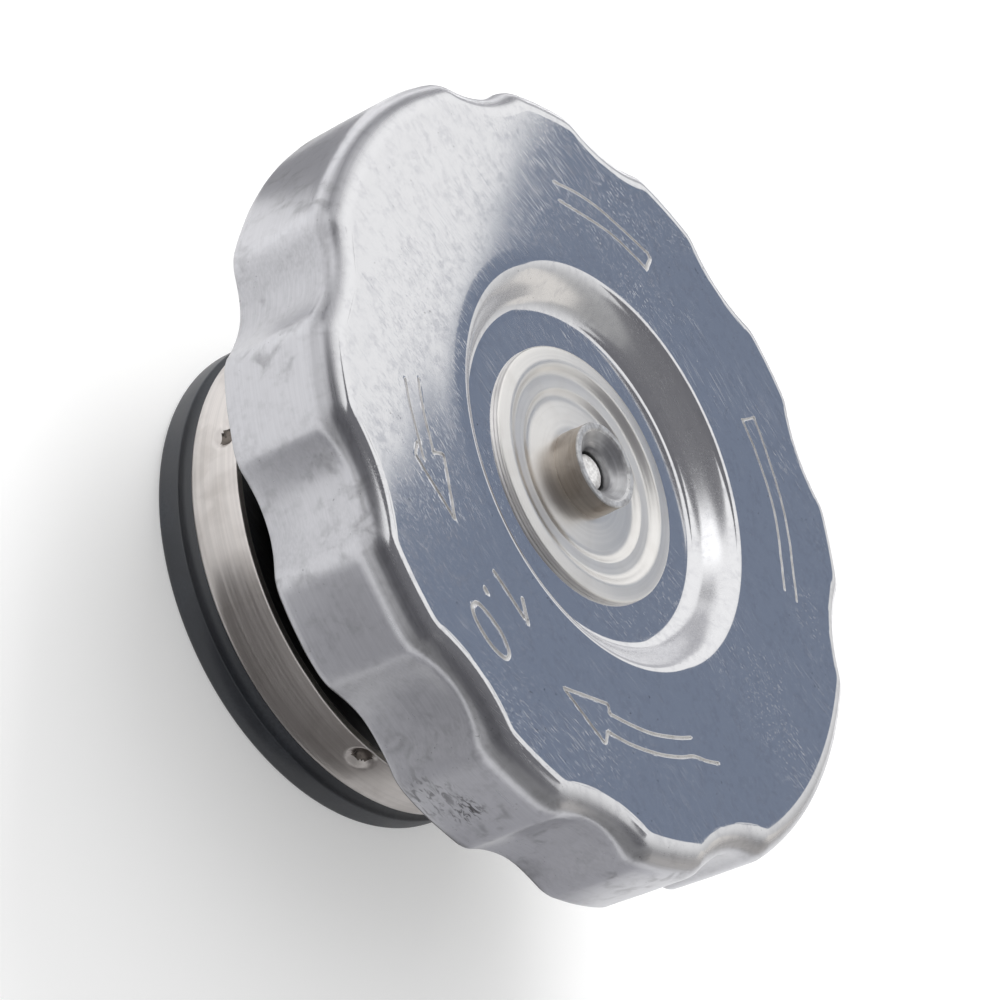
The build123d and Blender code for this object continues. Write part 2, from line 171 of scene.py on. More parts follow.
@dataclass
class Pattern:
    """The shared start of a finish: a material, its tree and a place in millimetres."""

    name: str
    rolling_turn: float = 18.0  # degrees that rolled lines stand from X
    tree: bpy.types.NodeTree = field(init=False)
    material: Material = field(init=False)
    place: Socket = field(init=False)
    shader: bpy.types.Node = field(init=False)

    def __post_init__(self) -> None:
        """Make the material with its shader and its place in millimetres."""
        self.material = bpy.data.materials.new(self.name)
        self.tree = cleared(self.material)
        self.place = self.put(Step.SCALED, self.put(Step.PLACE), 1 / MM)
        surface = self.put(Step.SURFACE)
        self.shader = surface.node
        self.put(Step.SHOWN, surface)

    def put(self, step: Step, *values: Any) -> Socket:
        """Add one step of the pattern."""
        return add(self.tree, step, *values)

    def cloud(self, size: float, detail: float = 3.0, stretch: Triple = (1, 1, 1),
              turn: float = 0.0, place: Socket | None = None, distortion: float = 0.0) -> Socket:
        """Noise with patches of about a size in millimetres.

        Args:
            size: width of a patch.
            detail: how many finer layers it has.
            stretch: how much finer the noise is along each axis.
            turn: degrees about Z, for lines that run askew.
            place: a place other than the object's own.
            distortion: how far the noise is pulled about.

        Returns:
            A value about 0.5 in the mean.
        """
        laid = self.put(Step.LAID, place or self.place, (0, 0, radians(turn)), stretch)
        return self.put(Step.CLOUD, laid, 1 / size, detail, distortion)

    def round_place(self) -> tuple[Socket, Socket, Socket]:
        """Radius, arc length about the axis and level of a point, in millimetres.

        Returns:
            The three lengths' sockets.
        """
        x, y, z = self.put(Step.PARTS, self.place).node.outputs
        squares = self.put(Step.PLUS, self.put(Step.TIMES, x, x), self.put(Step.TIMES, y, y))
        radius = self.put(Step.ROOT, squares)
        return radius, self.put(Step.TIMES, self.put(Step.BEARING, y, x), radius), z

    def grain(self, run: Grain, spacing: float, length: float) -> Socket:
        """Fine marks of making, at a spacing and length in millimetres.

        Args:
            run: how the marks run.
            spacing: distance between marks, in millimetres.
            length: length of a mark, in millimetres.

        Returns:
            A value about 0.5 in the mean.
        """
        if run is Grain.CAST:
            return self.cloud(spacing, 4.0)
        if run is Grain.ROLLED:
            return self.cloud(spacing, 2.0, (spacing / length, 1, 1), self.rolling_turn)
        place = self.put(Step.JOIN, *self.round_place())
        return self.cloud(spacing, 2.0, (1, spacing / length, 1), place=place)

    def dress(self, colour: Socket, rough: Socket, *layers: tuple[Any, float],
              **uniform: float) -> Material:
        """Link colour, roughness and relief to the shader.

        Args:
            colour: base colour.
            rough: roughness.
            layers: relief, each a height and how deep it is in millimetres.
            uniform: the shader's other inputs, with _ for a space in the name.

        Returns:
            The finished material.
        """
        normal: tuple[Socket, ...] = ()
        for height, depth in layers:
            normal = (self.put(Step.BUMP, height, depth * MM, 1.0, *normal),)
        for name, value in (("Base Color", colour), ("Roughness", rough), ("Normal", normal[0])):
            self.tree.links.new(value, self.shader.inputs[name])
        for name, value in uniform.items():
            self.shader.inputs[name.replace("_", " ")].default_value = value
        return self.material


@dataclass(frozen=True)
class Metal:
    """A metal surface with the marks of how it was made.

    Attributes are the name, colours in sRGB hex, roughness and its spread, and the grain's run,
    spacing, length and depth, with the width of the dull patches, in millimetres.
    """

    name: str
    colour: str
    tarnish: str
    roughness: float
    spread: float = 0.10
    run: Grain = Grain.TURNED
    spacing: float = 0.25
    length: float = 14.0
    depth: float = 0.0015
    patch: float = 7.0
    dullness: float = 0.6
    pits: float = 0.0
    pit_size: float = 0.5
    pit_depth: float = 0.02
    metallic: float = 1.0
    contrast: float = 0.16

    def material(self) -> Material:
        """Build the finish's material.

        Returns:
            The finished material.
        """
        p = Pattern(self.name)
        marks = p.grain(self.run, self.spacing, self.length)
        patches = p.put(Step.EASED, p.cloud(self.patch, 5.0, distortion=0.6), 0.42, 0.68)
        dull = p.put(Step.TIMES, patches, self.dullness)
        tarnish = linear(self.tarnish)
        colour = p.put(Step.TINTED, dull, linear(self.colour), tarnish)
        streak = p.put(Step.EASED, marks, 0.35, 0.65, 1 - self.contrast * 0.6,
                       1 + self.contrast * 0.4)
        shade = p.put(Step.SCALED, colour, streak)
        drawn = p.put(Step.EASED, marks, 0.3, 0.7, -self.spread / 2, self.spread / 2)
        rough = p.put(Step.CLIPPED_PLUS, drawn,
                      p.put(Step.TIMES_PLUS, dull, self.spread, self.roughness))
        layers = [(marks, self.depth)]
        if self.pits:
            spots = p.put(Step.EASED, p.cloud(self.pit_size, 2.0), 0.62, 0.70)
            shade = p.put(Step.TINTED, p.put(Step.TIMES, spots, self.pits), shade, tarnish)
            layers.append((spots, -self.pit_depth))
        return p.dress(shade, rough, *layers, Metallic=self.metallic)


@dataclass(frozen=True)
class Rubber:
    """Moulded rubber: dark, with a faint bloom and the mould's fine grain."""

    name: str
    colour: str
    bloom: str
    roughness: float = 0.42
    spread: float = 0.14
    gloss: float = 0.8  # a new moulding is glossier than most
    grain: float = 0.35
    depth: float = 0.012
    patch: float = 9.0

    def material(self) -> Material:
        """Build the finish's material.

        Returns:
            The finished material.
        """
        p = Pattern(self.name)
        dust = p.put(Step.EASED, p.cloud(self.patch, 6.0, distortion=0.4), 0.45, 0.72)
        fine = p.cloud(self.grain, 3.0)
        share = p.put(Step.TIMES, dust, p.put(Step.EASED, fine, 0.35, 0.65, 0.3, 1.0))
        colour = p.put(Step.TINTED, share, linear(self.colour), linear(self.bloom))
        rough = p.put(Step.TIMES_PLUS, dust, self.spread, self.roughness)
        return p.dress(colour, rough, (fine, self.depth), Specular_IOR_Level=self.gloss)


@dataclass(frozen=True)
class Scuff:
    """A dark rub on the crown: its place, size and strength."""

    centre: Triple
    size: float
    strength: float


@dataclass(frozen=True)
class PressedAluminium:
    """Soft aluminium sheet, pressed and deep-drawn.

    The flat face is worn bright and mirror-like under fine scratches. The drawn wall is rougher,
    brushed round by the die, and darker than the face, partly duller sheet and partly painted
    shade. Its lands lighten towards their ridges, a painted highlight with some polish, so the
    flutes stay darker as painted shade.
    """

    face_level: float
    ridge_radius: float
    name: str = "pressed_aluminium"
    face_colour: str = "#EAEAEC"
    haze_colour: str = "#CFCFD4"
    # The wall's colour is darker than the face's, partly painted shade. The lighter colour is the
    # lands' painted highlight and the tint of the brush lines.
    dull_and_shaded_wall_colour: str = "#AAAAAE"
    highlight_and_brush_colour: str = "#D8D8DC"
    smudge_colour: str = "#5C5B5D"
    face_roughness: float = 0.062
    wall_roughness: float = 0.29
    scuffs: tuple[Scuff, ...] = (Scuff((12.0, -43.5, 30.5), 3.2, 0.95),
                                 Scuff((9.0, -44.0, 28.5), 4.5, 0.6))
    scratch_width: float = 0.11  # a real one is nearer 0.03, too fine to show
    scratch_length: float = 5.5
    scratch_turns: tuple[float, ...] = (8, 37, 64, 92, 121, 149, 171)
    swirl_size: float = 30.0
    swirl_reach: float = 9.0
    scratch_depth: float = 0.0006
    nick_size: float = 0.36
    brush_spacing: float = 0.22
    brush_length: float = 9.0
    brush_depth: float = 0.0007
    swell_depth: float = 0.004
    smudge_depth: float = 0.003

    def scratches(self, p: Pattern, wall: Socket) -> Socket:
        """Scratches that run many ways; each layer holds one way, bent by a slow swirl.

        Args:
            p: the finish's pattern.
            wall: share of the wall, where fewer scratches are.

        Returns:
            How scratched each place is, from 0 to 1.
        """
        swirl = p.put(Step.SWIRL, p.place, 1 / self.swirl_size, 0.0)
        wander = p.put(Step.CARRIED, swirl, (self.swirl_reach,) * 3, p.place)
        nicks = p.put(Step.EASED, p.cloud(self.nick_size, 0.0), 0.80, 0.86)
        found = p.put(Step.TIMES, nicks, p.put(Step.EASED, p.cloud(6.0), 0.45, 0.6))
        squeeze = self.scratch_width / self.scratch_length
        for turn in self.scratch_turns:
            lines = p.cloud(self.scratch_width, 0.0, (squeeze, 1, 1), turn, wander)
            found = p.put(Step.MOST, found, p.put(Step.EASED, lines, 0.73, 0.84))
        worn = p.put(Step.EASED, p.cloud(15.0, 3.0), 0.42, 0.66, 0.30, 1.0)
        fewer = p.put(Step.EASED, wall, 0, 1, 1.0, 0.25)
        return p.put(Step.TIMES, found, p.put(Step.TIMES, worn, fewer))

    def smudges(self, p: Pattern, wall: Socket) -> Socket:
        """Dirt in the flutes, from the arch down to the lip, and the torn rubs.

        Args:
            p: the finish's pattern.
            wall: share of the wall, where the dirt is.

        Returns:
            How dirty each place is, from 0 to 1.
        """
        grime = p.put(Step.EASED, p.cloud(2.2, 8.0, distortion=0.6), 0.48, 0.74)
        sparse = p.put(Step.EASED, p.cloud(9.0, 2.0), 0.46, 0.66)
        found = p.put(Step.TIMES, p.put(Step.TIMES, grime, sparse), p.put(Step.TIMES, wall, 0.34))
        for scuff in self.scuffs:
            gap = p.put(Step.APART, p.place, scuff.centre)
            near = p.put(Step.EASED, gap, scuff.size * 0.35, scuff.size, 1.0, 0.0)
            flecks = p.cloud(scuff.size * 0.32, 6.0, (1, 1, 2.4), distortion=1.0)
            torn = p.put(Step.EASED, flecks, 0.47, 0.64)
            rub = p.put(Step.TIMES, p.put(Step.TIMES, near, torn), scuff.strength)
            found = p.put(Step.MOST, found, rub)
        return found

    def material(self) -> Material:
        """Build the finish's material.

        Returns:
            The finished material.
        """
        p = Pattern(self.name)
        top = self.face_level
        smudge_colour, highlight_and_brush_colour = linear(self.smudge_colour), linear(self.highlight_and_brush_colour)
        radius, arc, level = p.round_place()
        wall = p.put(Step.TIMES, p.put(Step.EASED, level, top - 0.7, top - 0.07, 1.0, 0.0),
                     p.put(Step.EASED, radius, 30.0, 34.0))
        scratches, smudge = self.scratches(p, wall), self.smudges(p, wall)
        cloudy = p.put(Step.EASED, p.cloud(2.2, 6.0, distortion=0.5), 0.36, 0.70)
        haze = p.put(Step.TIMES, cloudy, p.put(Step.EASED, p.cloud(0.8, 3.0), 0.34, 0.66))
        drawn = p.put(Step.TIMES, p.put(Step.EASED, level, top - 0.8, top - 0.15, 1.0, 0.0),
                      p.put(Step.EASED, level, top - 3.65, top - 3.2))
        brushed = p.cloud(self.brush_spacing, 3.0, (1, self.brush_spacing / self.brush_length, 1),
                          place=p.put(Step.JOIN, radius, arc, level))
        specks = p.put(Step.TIMES, p.put(Step.EASED, p.cloud(0.5, 2.0), 0.70, 0.76),
                       p.put(Step.EASED, p.cloud(9.0, 3.0), 0.5, 0.62, 0.0, 0.55))

        face = p.put(Step.TINTED, p.put(Step.TIMES, haze, 0.5), linear(self.face_colour),
                     linear(self.haze_colour))
        # Painted highlight: lighter towards the lands' ridges, mixed with large random patches of
        # polish. The flutes keep the darker wall colour as painted shade.
        ridge = self.ridge_radius
        ridge_highlight_and_polish = p.put(Step.MOST, p.put(Step.EASED, radius, ridge - 1.3, ridge - 0.2, 0.0, 0.30),
                       p.put(Step.EASED, p.cloud(17.0, 1.0), 0.42, 0.60, 0.0, 0.22))
        side = p.put(Step.TINTED, ridge_highlight_and_polish, linear(self.dull_and_shaded_wall_colour), highlight_and_brush_colour)
        side = p.put(Step.TINTED, p.put(Step.EASED, brushed, 0.32, 0.68, 0.0, 0.16), side,
                     highlight_and_brush_colour)
        side = p.put(Step.TINTED, p.put(Step.TIMES, haze, 0.16), side, smudge_colour)
        colour = p.put(Step.TINTED, wall, face, side)
        for share in (smudge, specks):
            colour = p.put(Step.TINTED, share, colour, smudge_colour)

        smooth = p.put(Step.TIMES_PLUS, haze, 0.045, self.face_roughness)
        smooth = p.put(Step.TIMES_PLUS, drawn, 0.16, smooth)
        coarse = p.put(Step.TIMES_PLUS, brushed, 0.12, self.wall_roughness - 0.05)
        rough = p.put(Step.BETWEEN, wall, smooth, coarse)
        rough = p.put(Step.TIMES_PLUS, scratches, 0.25, rough)
        rough = p.put(Step.CLIPPED_TIMES_PLUS, smudge, 0.25, rough)
        lines = p.put(Step.TIMES, brushed, wall)
        return p.dress(colour, rough, (scratches, self.scratch_depth), (lines, self.brush_depth),
                       (p.cloud(9.0, 1.0), self.swell_depth), (smudge, -self.smudge_depth),
                       Metallic=1.0)


# ---- meshes ---------------------------------------------------------------------------------


@dataclass
class Skin:
    """Points and faces that grow into one mesh, in millimetres."""

    name: str
    points: list[Array] = field(default_factory=list)
    faces: list[Array] = field(default_factory=list)
    zones: list[Array] = field(default_factory=list)
    count: int = 0

    def add(self, points: Array, faces: Array, zone: Array | int = 0) -> None:
        """Take in points (n, 3) and faces (m, 3 or 4) with the zone, or zones, of their finish.

        Args:
            points: places (n, 3).
            faces: the points' numbers in each face (m, 3 or more).
            zone: the finish's number, or one for each face.
        """
        self.points.append(points)
        self.faces.append(faces + self.count)
        self.zones.append(np.broadcast_to(zone, (len(faces),)))
        self.count += len(points)

    def add_rings(self, rings: Sequence[Array], closed: bool = False, zone: int = 0) -> None:
        """Join rings of equal count with quads, and the last to the first if closed.

        Args:
            rings: points (n, 3) of each ring, in order.
            closed: whether the last ring joins the first.
            zone: the finish's number.
        """
        rows, columns = len(rings), len(rings[0])
        last = rows if closed else rows - 1
        row = np.repeat(np.arange(last), columns)
        column = np.tile(np.arange(columns), last)
        right = (column + 1) % columns
        above = (row + 1) % rows
        faces = np.stack([row * columns + column, row * columns + right,
                          above * columns + right, above * columns + column], axis=1)
        self.add(np.concatenate(rings), faces, zone)

    def build(self, materials: Sequence[Material]) -> Object:
        """Weld the points and make the object, smooth, with one slot for each zone.

        Args:
            materials: one for each zone.

        Returns:
            The new object, linked to the scene.
        """
        mesh = bpy.data.meshes.new(self.name)
        faces = [tuple(face) for block in self.faces for face in block.tolist()]
        mesh.from_pydata((np.concatenate(self.points) * MM).tolist(), [], faces)
        mesh.polygons.foreach_set("material_index", np.concatenate(self.zones).astype(np.int32))
        work = bmesh.new()
        work.from_mesh(mesh)
        bmesh.ops.remove_doubles(work, verts=work.verts, dist=WELD * MM)
        bmesh.ops.dissolve_degenerate(work, edges=work.edges, dist=WELD * MM / 10)
        bmesh.ops.recalc_face_normals(work, faces=work.faces)
        work.to_mesh(mesh)
        work.free()
        mesh.shade_smooth()
        mesh.set_sharp_from_angle(angle=radians(SHARP))
        for material in materials:
            mesh.materials.append(material)
        made = bpy.data.objects.new(self.name, mesh)
        bpy.context.scene.collection.objects.link(made)
        LOG.info("%s: %d points, %d faces", self.name, len(mesh.vertices), len(mesh.polygons))
        return made


def rounded(corners: Sequence[Triple], steps: int = 5, closed: bool = True) -> Array:
    """Section through corners, each cut back and rounded.

    Args:
        corners: radius, level and how far before and after the corner its round begins.
        steps: spans in each round.
        closed: whether the last corner joins the first.

    Returns:
        Points (n, 2) of radius and level.
    """
    out: list[Array] = []
    place = [np.array(corner[:2]) for corner in corners]
    for at, (here, corner) in enumerate(zip(place, corners)):
        ends = not closed and at in (0, len(place) - 1)
        if ends or corner[2] == 0:
            out.append(here[None])
            continue
        before, after = place[at - 1] - here, place[(at + 1) % len(place)] - here
        start = here + before * min(0.5, corner[2] / np.linalg.norm(before))
        end = here + after * min(0.5, corner[2] / np.linalg.norm(after))
        t = np.linspace(0, 1, steps + 1)[:, None]
        out.append((1 - t) ** 2 * start + 2 * t * (1 - t) * here + t ** 2 * end)
    return np.concatenate(out)


def turned(section: Array, columns: int) -> list[Array]:
    """Rings of a section (n, 2) carried round the axis."""
    angle = np.linspace(0, 2 * pi, columns, endpoint=False)
    return [np.stack([r * np.cos(angle), r * np.sin(angle), np.full(columns, z)], 1)
            for r, z in section]


def lowered(ring: Array, drop: Array) -> Array:
    """Ring with each point let down by its own drop."""
    return ring - np.column_stack([np.zeros((len(ring), 2)), drop])


def soft_min(first: Array, second: Array, width: float) -> Array:
    """Lesser of two lengths, eased where they differ by less than a width."""
    share = np.clip(0.5 + 0.5 * (second - first) / width, 0, 1)
    return second * (1 - share) + first * share - width * share * (1 - share)


def ripple(points: Array, size: float, seed: float = 0.0) -> Array:
    """Smooth noise from -1 to 1 at points (n, 3), with waves of about a size."""
    shift = Vector((seed, seed * 0.7, -seed))
    return np.array([noise.noise(Vector(point) / size + shift) for point in points.tolist()])


@dataclass(frozen=True)
class Stroke:
    """A line scribed on the crown's face, through places in millimetres."""

    places: tuple[Pair, ...]
    half_width: float = 0.18
    curved: bool = False

    def line(self, spacing: float) -> Array:
        """Points (n, 2) along the stroke, with a slight shake of the hand.

        Args:
            spacing: distance between points.

        Returns:
            Points (n, 2).
        """
        through = np.array(self.places)
        if self.curved:
            padded = np.concatenate([2 * through[:1] - through[1:2], through,
                                     2 * through[-1:] - through[-2:-1]])  # one more at each end
            t = np.linspace(0, 1, 12, endpoint=False)[:, None]
            spans = []
            for at in range(len(through) - 1):
                a, b, c, d = padded[at:at + 4]
                spans.append(0.5 * (2 * b + (c - a) * t + (2 * a - 5 * b + 4 * c - d) * t ** 2
                                    + (3 * b - a - 3 * c + d) * t ** 3))
            through = np.concatenate([*spans, through[-1:]])
        steps = np.linalg.norm(np.diff(through, axis=0), axis=1)
        along = np.concatenate([[0], np.cumsum(steps)])
        wanted = np.linspace(0, along[-1], max(2, int(along[-1] / spacing)) + 1)
        line = np.stack([np.interp(wanted, along, through[:, k]) for k in (0, 1)], 1)
        shake = ripple(np.column_stack([line, np.zeros(len(line))]), 1.6, 3.1) * 0.05
        return line + shake[:, None]

    def rows(self, spacing: float, offsets: Sequence[float]) -> list[Array]:
        """Rows of points beside the stroke, at offsets in half widths.

        Args:
            spacing: distance between points along the stroke.
            offsets: how far to the side each row lies, in half widths.

        Returns:
            Points (n, 2) of each row, which runs on past the stroke's ends.
        """
        line = self.line(spacing)
        first, last = line[0] - line[1], line[-1] - line[-2]
        line = np.concatenate([line[:1] + first * 2, line[:1] + first, line, line[-1:] + last,
                               line[-1:] + last * 2])
        run = np.gradient(line, axis=0)
        run /= np.linalg.norm(run, axis=1)[:, None]
        side = np.stack([-run[:, 1], run[:, 0]], 1) * self.half_width
        return [line + side * offset for offset in offsets]


# Marks on the face, each stroke in millimetres from the axis: an arrow at the left and one at the
# lower right, the pressure in bar between them, and two bars opposite
MARKS = (
    Stroke(((-24.8, -23.1), (-22.1, -25.4), (-20.0, -26.9), (-18.1, -28.3)), curved=True),
    Stroke(((-23.7, -21.1), (-21.0, -23.7), (-17.6, -26.3)), curved=True),
    Stroke(((-19.7, -27.7), (-19.1, -29.1), (-11.3, -29.9), (-16.6, -25.0), (-17.6, -26.3))),
    Stroke(((15.8, -27.0), (15.1, -26.2), (9.5, -31.1), (17.2, -30.7), (16.7, -29.1))),
    Stroke(((15.8, -27.0), (18.8, -24.9), (21.7, -22.5), (24.6, -19.2), (26.1, -17.1)),
           curved=True),
    Stroke(((16.7, -29.1), (20.0, -26.9), (23.5, -23.8), (26.1, -20.8), (27.6, -18.6),
            (29.4, -17.0), (30.8, -15.5)), curved=True),
    Stroke(((-4.5, -29.5), (-1.6, -29.6), (1.2, -29.8)), 0.22),
    Stroke(((0.0, -28.2), (2.0, -29.8)), 0.25),
    Stroke(((-4.3, -32.5), (-3.8, -32.6)), 0.28),
    Stroke(((-4.4, -35.8), (-4.2, -35.1), (-3.4, -34.7), (-1.9, -34.5), (-0.2, -34.5), (1.1, -34.9),
            (2.0, -35.5), (2.1, -36.3), (1.7, -36.6), (0.7, -37.0), (-0.8, -37.2), (-2.3, -37.0),
            (-3.5, -36.7), (-4.2, -36.2), (-4.4, -35.8)), 0.23, True),
    Stroke(((-25.0, 23.6), (-22.0, 26.4), (-18.6, 28.7), (-14.6, 30.6), (-10.4, 32.4)),
           curved=True),
    Stroke(((-10.4, 32.4), (-9.7, 32.1), (-9.4, 30.2)), 0.25),
    Stroke(((-23.1, 22.3), (-20.9, 24.0), (-18.0, 26.2), (-15.4, 27.9), (-12.6, 29.1),
            (-9.4, 30.2)), curved=True),
    Stroke(((11.9, 29.5), (16.4, 27.6), (22.2, 23.6), (28.1, 16.2)), curved=True),
    Stroke(((13.1, 32.1), (17.0, 30.0), (23.7, 25.2), (30.3, 17.1)), curved=True),
    Stroke(((11.9, 29.5), (13.1, 32.1)), 0.13),
)


@dataclass(frozen=True)
class Crown:
    """The fluted crown: one pressing of aluminium sheet with a recess in its middle."""

    sheet: float = 1.0
    face: float = 39.75
    lip: float = 25.9
    land_radius: float = 46.0
    flute_spacing: float = 30.0
    flute_depth: float = 1.8
    flute_radius: float = 16.5
    flute_blend: float = 5.5
    edge_round: float = 3.2
    pocket_radius: float = 9.75
    pocket_depth: float = 0.55
    pocket_drop: float = 4.5
    pocket_ease: float = 0.7  # how softly a pocket's arch runs into the wall
    floor: float = 36.0
    hole: float = 12.9
    foot: float = 20.0
    mouth: float = 22.9
    foot_cut: float = 1.3
    mouth_cut: float = 2.8
    lip_round: float = 0.38
    skim: float = 0.05  # the face lies this far low, so that its burrs stay inside the height
    groove_depth: float = 0.12
    burr: float = 0.03  # height of the ridge that a mark throws up beside it
    sag: float = 0.012  # height of the face's slow waves
    wall_wave: float = 0.10  # how far the wall waves inward, and how much further at the lip
    lip_wave: float = 0.12
    lip_lift: float = 0.14
    face_step: float = 1.15  # between the face's points, away from the marks
    mark_step: float = 0.24  # between points along a mark
    mark_reach: float = 1.5  # how far from its places a mark is looked for
    mark_rows: tuple[float, ...] = (0, -0.55, 0.55, -1, 1, -1.4, 1.4, -2.2, 2.2)  # in half widths
    mark_cell: float = 0.05  # points in one cell of this size are one point
    mark_gap: float = 0.55  # from a mark's points to the face's
    mark_share: float = 0.12  # how far inside a stroke a triangle takes its finish
    columns: int = 600

    @property
    def angles(self) -> Array:
        """Angles of the columns, in radians."""
        return np.linspace(0, 2 * pi, self.columns, endpoint=False)

    @property
    def flute_centre(self) -> float:
        """Distance of a flute's own centre from the axis."""
        return self.land_radius - self.flute_depth + self.flute_radius

    def off_flute(self, angle: Array) -> Array:
        """Angle from the nearest flute's middle, or pi where a wide grip stands in for one.

        Args:
            angle: bearings in radians.

        Returns:
            The angles in radians.
        """
        step = radians(self.flute_spacing)
        nearest = np.round(angle / step)
        grip = nearest % round(pi / step) == 0
        return np.where(grip, pi, np.abs(angle - nearest * step))

    def plan(self) -> tuple[Array, Array]:
        """Outline of the wall's outside seen from above, and its outward normals, both (n, 2).

        Returns:
            The outline's points and their normals.
        """
        off = self.off_flute(self.angles)
        blend, far = self.flute_blend, self.flute_centre
        hub, reach = self.land_radius - blend, self.flute_radius + blend
        turn = np.arccos((hub ** 2 + far ** 2 - reach ** 2) / (2 * hub * far))
        centre = hub * np.array([cos(turn), sin(turn)])
        touch = np.array([far, 0]) + (centre - np.array([far, 0])) * self.flute_radius / reach
        start = atan2(touch[1], touch[0])
        near = np.minimum(off, pi / 6)
        hollow = np.maximum(self.flute_radius ** 2 - (far * np.sin(near)) ** 2, 0)
        scoop = far * np.cos(near) - np.sqrt(hollow)
        crest = np.maximum(blend ** 2 - (hub * np.sin(off - turn)) ** 2, 0)
        bulge = hub * np.cos(off - turn) + np.sqrt(crest)
        radius = np.where(off < start, scoop, np.where(off < turn, bulge, self.land_radius))
        line = radius[:, None] * np.stack([np.cos(self.angles), np.sin(self.angles)], 1)
        run = np.roll(line, -1, axis=0) - np.roll(line, 1, axis=0)
        run /= np.linalg.norm(run, axis=1)[:, None]
        return line, np.stack([run[:, 1], -run[:, 0]], 1)

    def ring(self, inset: float, level: float, thickness: float) -> Array:
        """Ring of the wall at a level, inset from the outline, with the flutes' pockets pressed in.

        Args:
            inset: distance in from the outline.
            level: height of the ring.
            thickness: 0 on the outside, or the sheet's on the inside.

        Returns:
            Points (n, 3).
        """
        line, out = self.plan()
        flat = line - out * inset
        radius = np.linalg.norm(flat, axis=1)
        angle = np.arctan2(flat[:, 1], flat[:, 0]) % (2 * pi)
        off = self.off_flute(angle)
        far = self.land_radius - self.flute_depth - self.pocket_depth + self.pocket_radius
        ball = self.pocket_radius + thickness
        over = max(0.0, level - (self.face - self.pocket_drop))
        inside = ball ** 2 - over ** 2 - (far * np.sin(np.minimum(off, pi / 2))) ** 2
        pressed = far * np.cos(off) - np.sqrt(np.maximum(inside, 0))
        pressed = np.where((inside > 0) & (off < pi / 6), pressed, radius + 4 * self.pocket_ease)
        radius = soft_min(radius, pressed, self.pocket_ease)
        return np.stack([radius * np.cos(angle), radius * np.sin(angle),
                         np.full(self.columns, level)], 1)

    def wall(self) -> list[Array]:
        """Rings from the face's edge over the round, down, round the lip and up inside.

        Returns:
            Points (n, 3) of each ring.
        """
        top, foot = self.face - self.skim, self.lip + self.lip_round
        edge, lip, sheet = self.edge_round, self.lip_round, self.sheet
        inner, quarter = edge - sheet, pi / 2
        return self.ragged([self.ring(*place) for place in (
            *((edge * (1 - sin(t)), top - edge * (1 - cos(t)), 0.0)
              for t in np.linspace(0, quarter, 11)),
            *((0.0, level, 0.0) for level in np.linspace(top - edge, foot, 20)[1:]),
            *((lip * (1 - cos(t)), foot - lip * sin(t), 0.0)
              for t in np.linspace(0, quarter, 4)[1:]),
            *((sheet - lip * (1 - cos(t)), foot - lip * sin(t), sheet * (t == 0))
              for t in np.linspace(quarter, 0, 4)),
            *((sheet, level, sheet) for level in np.linspace(foot, self.face - edge, 10)[1:]),
            *((sheet + inner * (1 - sin(t)), self.face - edge + inner * cos(t), sheet)
              for t in np.linspace(quarter, 0, 6)[1:]))])

    def ragged(self, rings: list[Array]) -> list[Array]:
        """Rings with the slight waves of a pressed wall and an uneven lip.

        Args:
            rings: points (n, 3) of each ring.

        Returns:
            The waved rings.
        """
        out = []
        for ring in rings:
            low = np.clip((self.lip + 5.0 - ring[:, 2]) / 5.0, 0, 1)
            inward = 0.5 + 0.5 * ripple(ring, 6.5, 1.3)
            below = np.clip((self.face - 1 - ring[:, 2]) / 2, 0, 1)
            scale = 1 - inward * (self.wall_wave + self.lip_wave * low) * below / 45
            lift = low ** 3 * self.lip_lift * ripple(ring * FLAT, 4.0, 7.7)
            out.append(np.column_stack([ring[:, :2] * scale[:, None], ring[:, 2] + lift]))
        return out

    def recess(self) -> tuple[Array, Array]:
        """Sections of the recess from its mouth to the hole, above and below the sheet.

        Returns:
            Points (n, 2) of radius and level, for each side.
        """
        top = self.face - self.skim
        upper = rounded([(self.mouth + self.mouth_cut, top, 0), (self.mouth, top, self.mouth_cut),
                         (self.foot, self.floor, self.foot_cut), (self.hole, self.floor, 0)],
                        10, closed=False)
        lean = self.sheet * tan(atan2(top - self.floor, self.mouth - self.foot) / 2)
        low, high = self.floor - self.sheet, self.face - self.sheet
        under = [(self.hole, low, 0), (self.foot + lean, low, 1.3), (self.mouth + lean, high, 1.0),
                 (self.mouth + lean + 2.0, high, 0)]
        return upper, rounded(under, 5, closed=False)

    def groove(self, places: Array) -> tuple[Array, Array]:
        """Height of the marks at places (n, 2), and how deep in a stroke each place lies.

        Args:
            places: places (n, 2) on the face.

        Returns:
            Heights (n,), and depths (n,) inside a stroke as a share of its half width.
        """
        height, inside = np.zeros(len(places)), np.zeros(len(places))
        for mark in MARKS:
            line = mark.line(0.3)
            low, high = line.min(0) - self.mark_reach, line.max(0) + self.mark_reach
            nearby = np.where((places > low).all(1) & (places < high).all(1))[0]
            start, run = line[:-1], np.diff(line, axis=0)
            gap = places[nearby][:, None] - start[None]
            share = np.clip((gap * run).sum(-1) / (run ** 2).sum(-1), 0, 1)
            away = np.linalg.norm(gap - share[..., None] * run, axis=-1).min(1) / mark.half_width
            cut = -self.groove_depth * np.maximum(0, 1 - away ** 2) ** 0.8
            ridge = self.burr * np.exp(-((away - 1.35) / 0.4) ** 2)
            height[nearby] = np.where(np.abs(cut) > -height[nearby], cut + ridge, height[nearby])
            inside[nearby] = np.maximum(inside[nearby], 1 - away)
        return height, inside

    def beside(self, places: Array, rim: Array) -> tuple[Array, Array]:
        """Radius of places (n, 2), and of the rim at their bearings.

        Args:
            places: places (n, 2) on the face.
            rim: the face's outer ring (n, 3).

        Returns:
            The two radii (n,).
        """
        bearing = np.arctan2(places[:, 1], places[:, 0]) % (2 * pi)
        edge = np.interp(bearing, self.angles, np.linalg.norm(rim[:, :2], axis=1), period=2 * pi)
        return np.linalg.norm(places, axis=1), edge

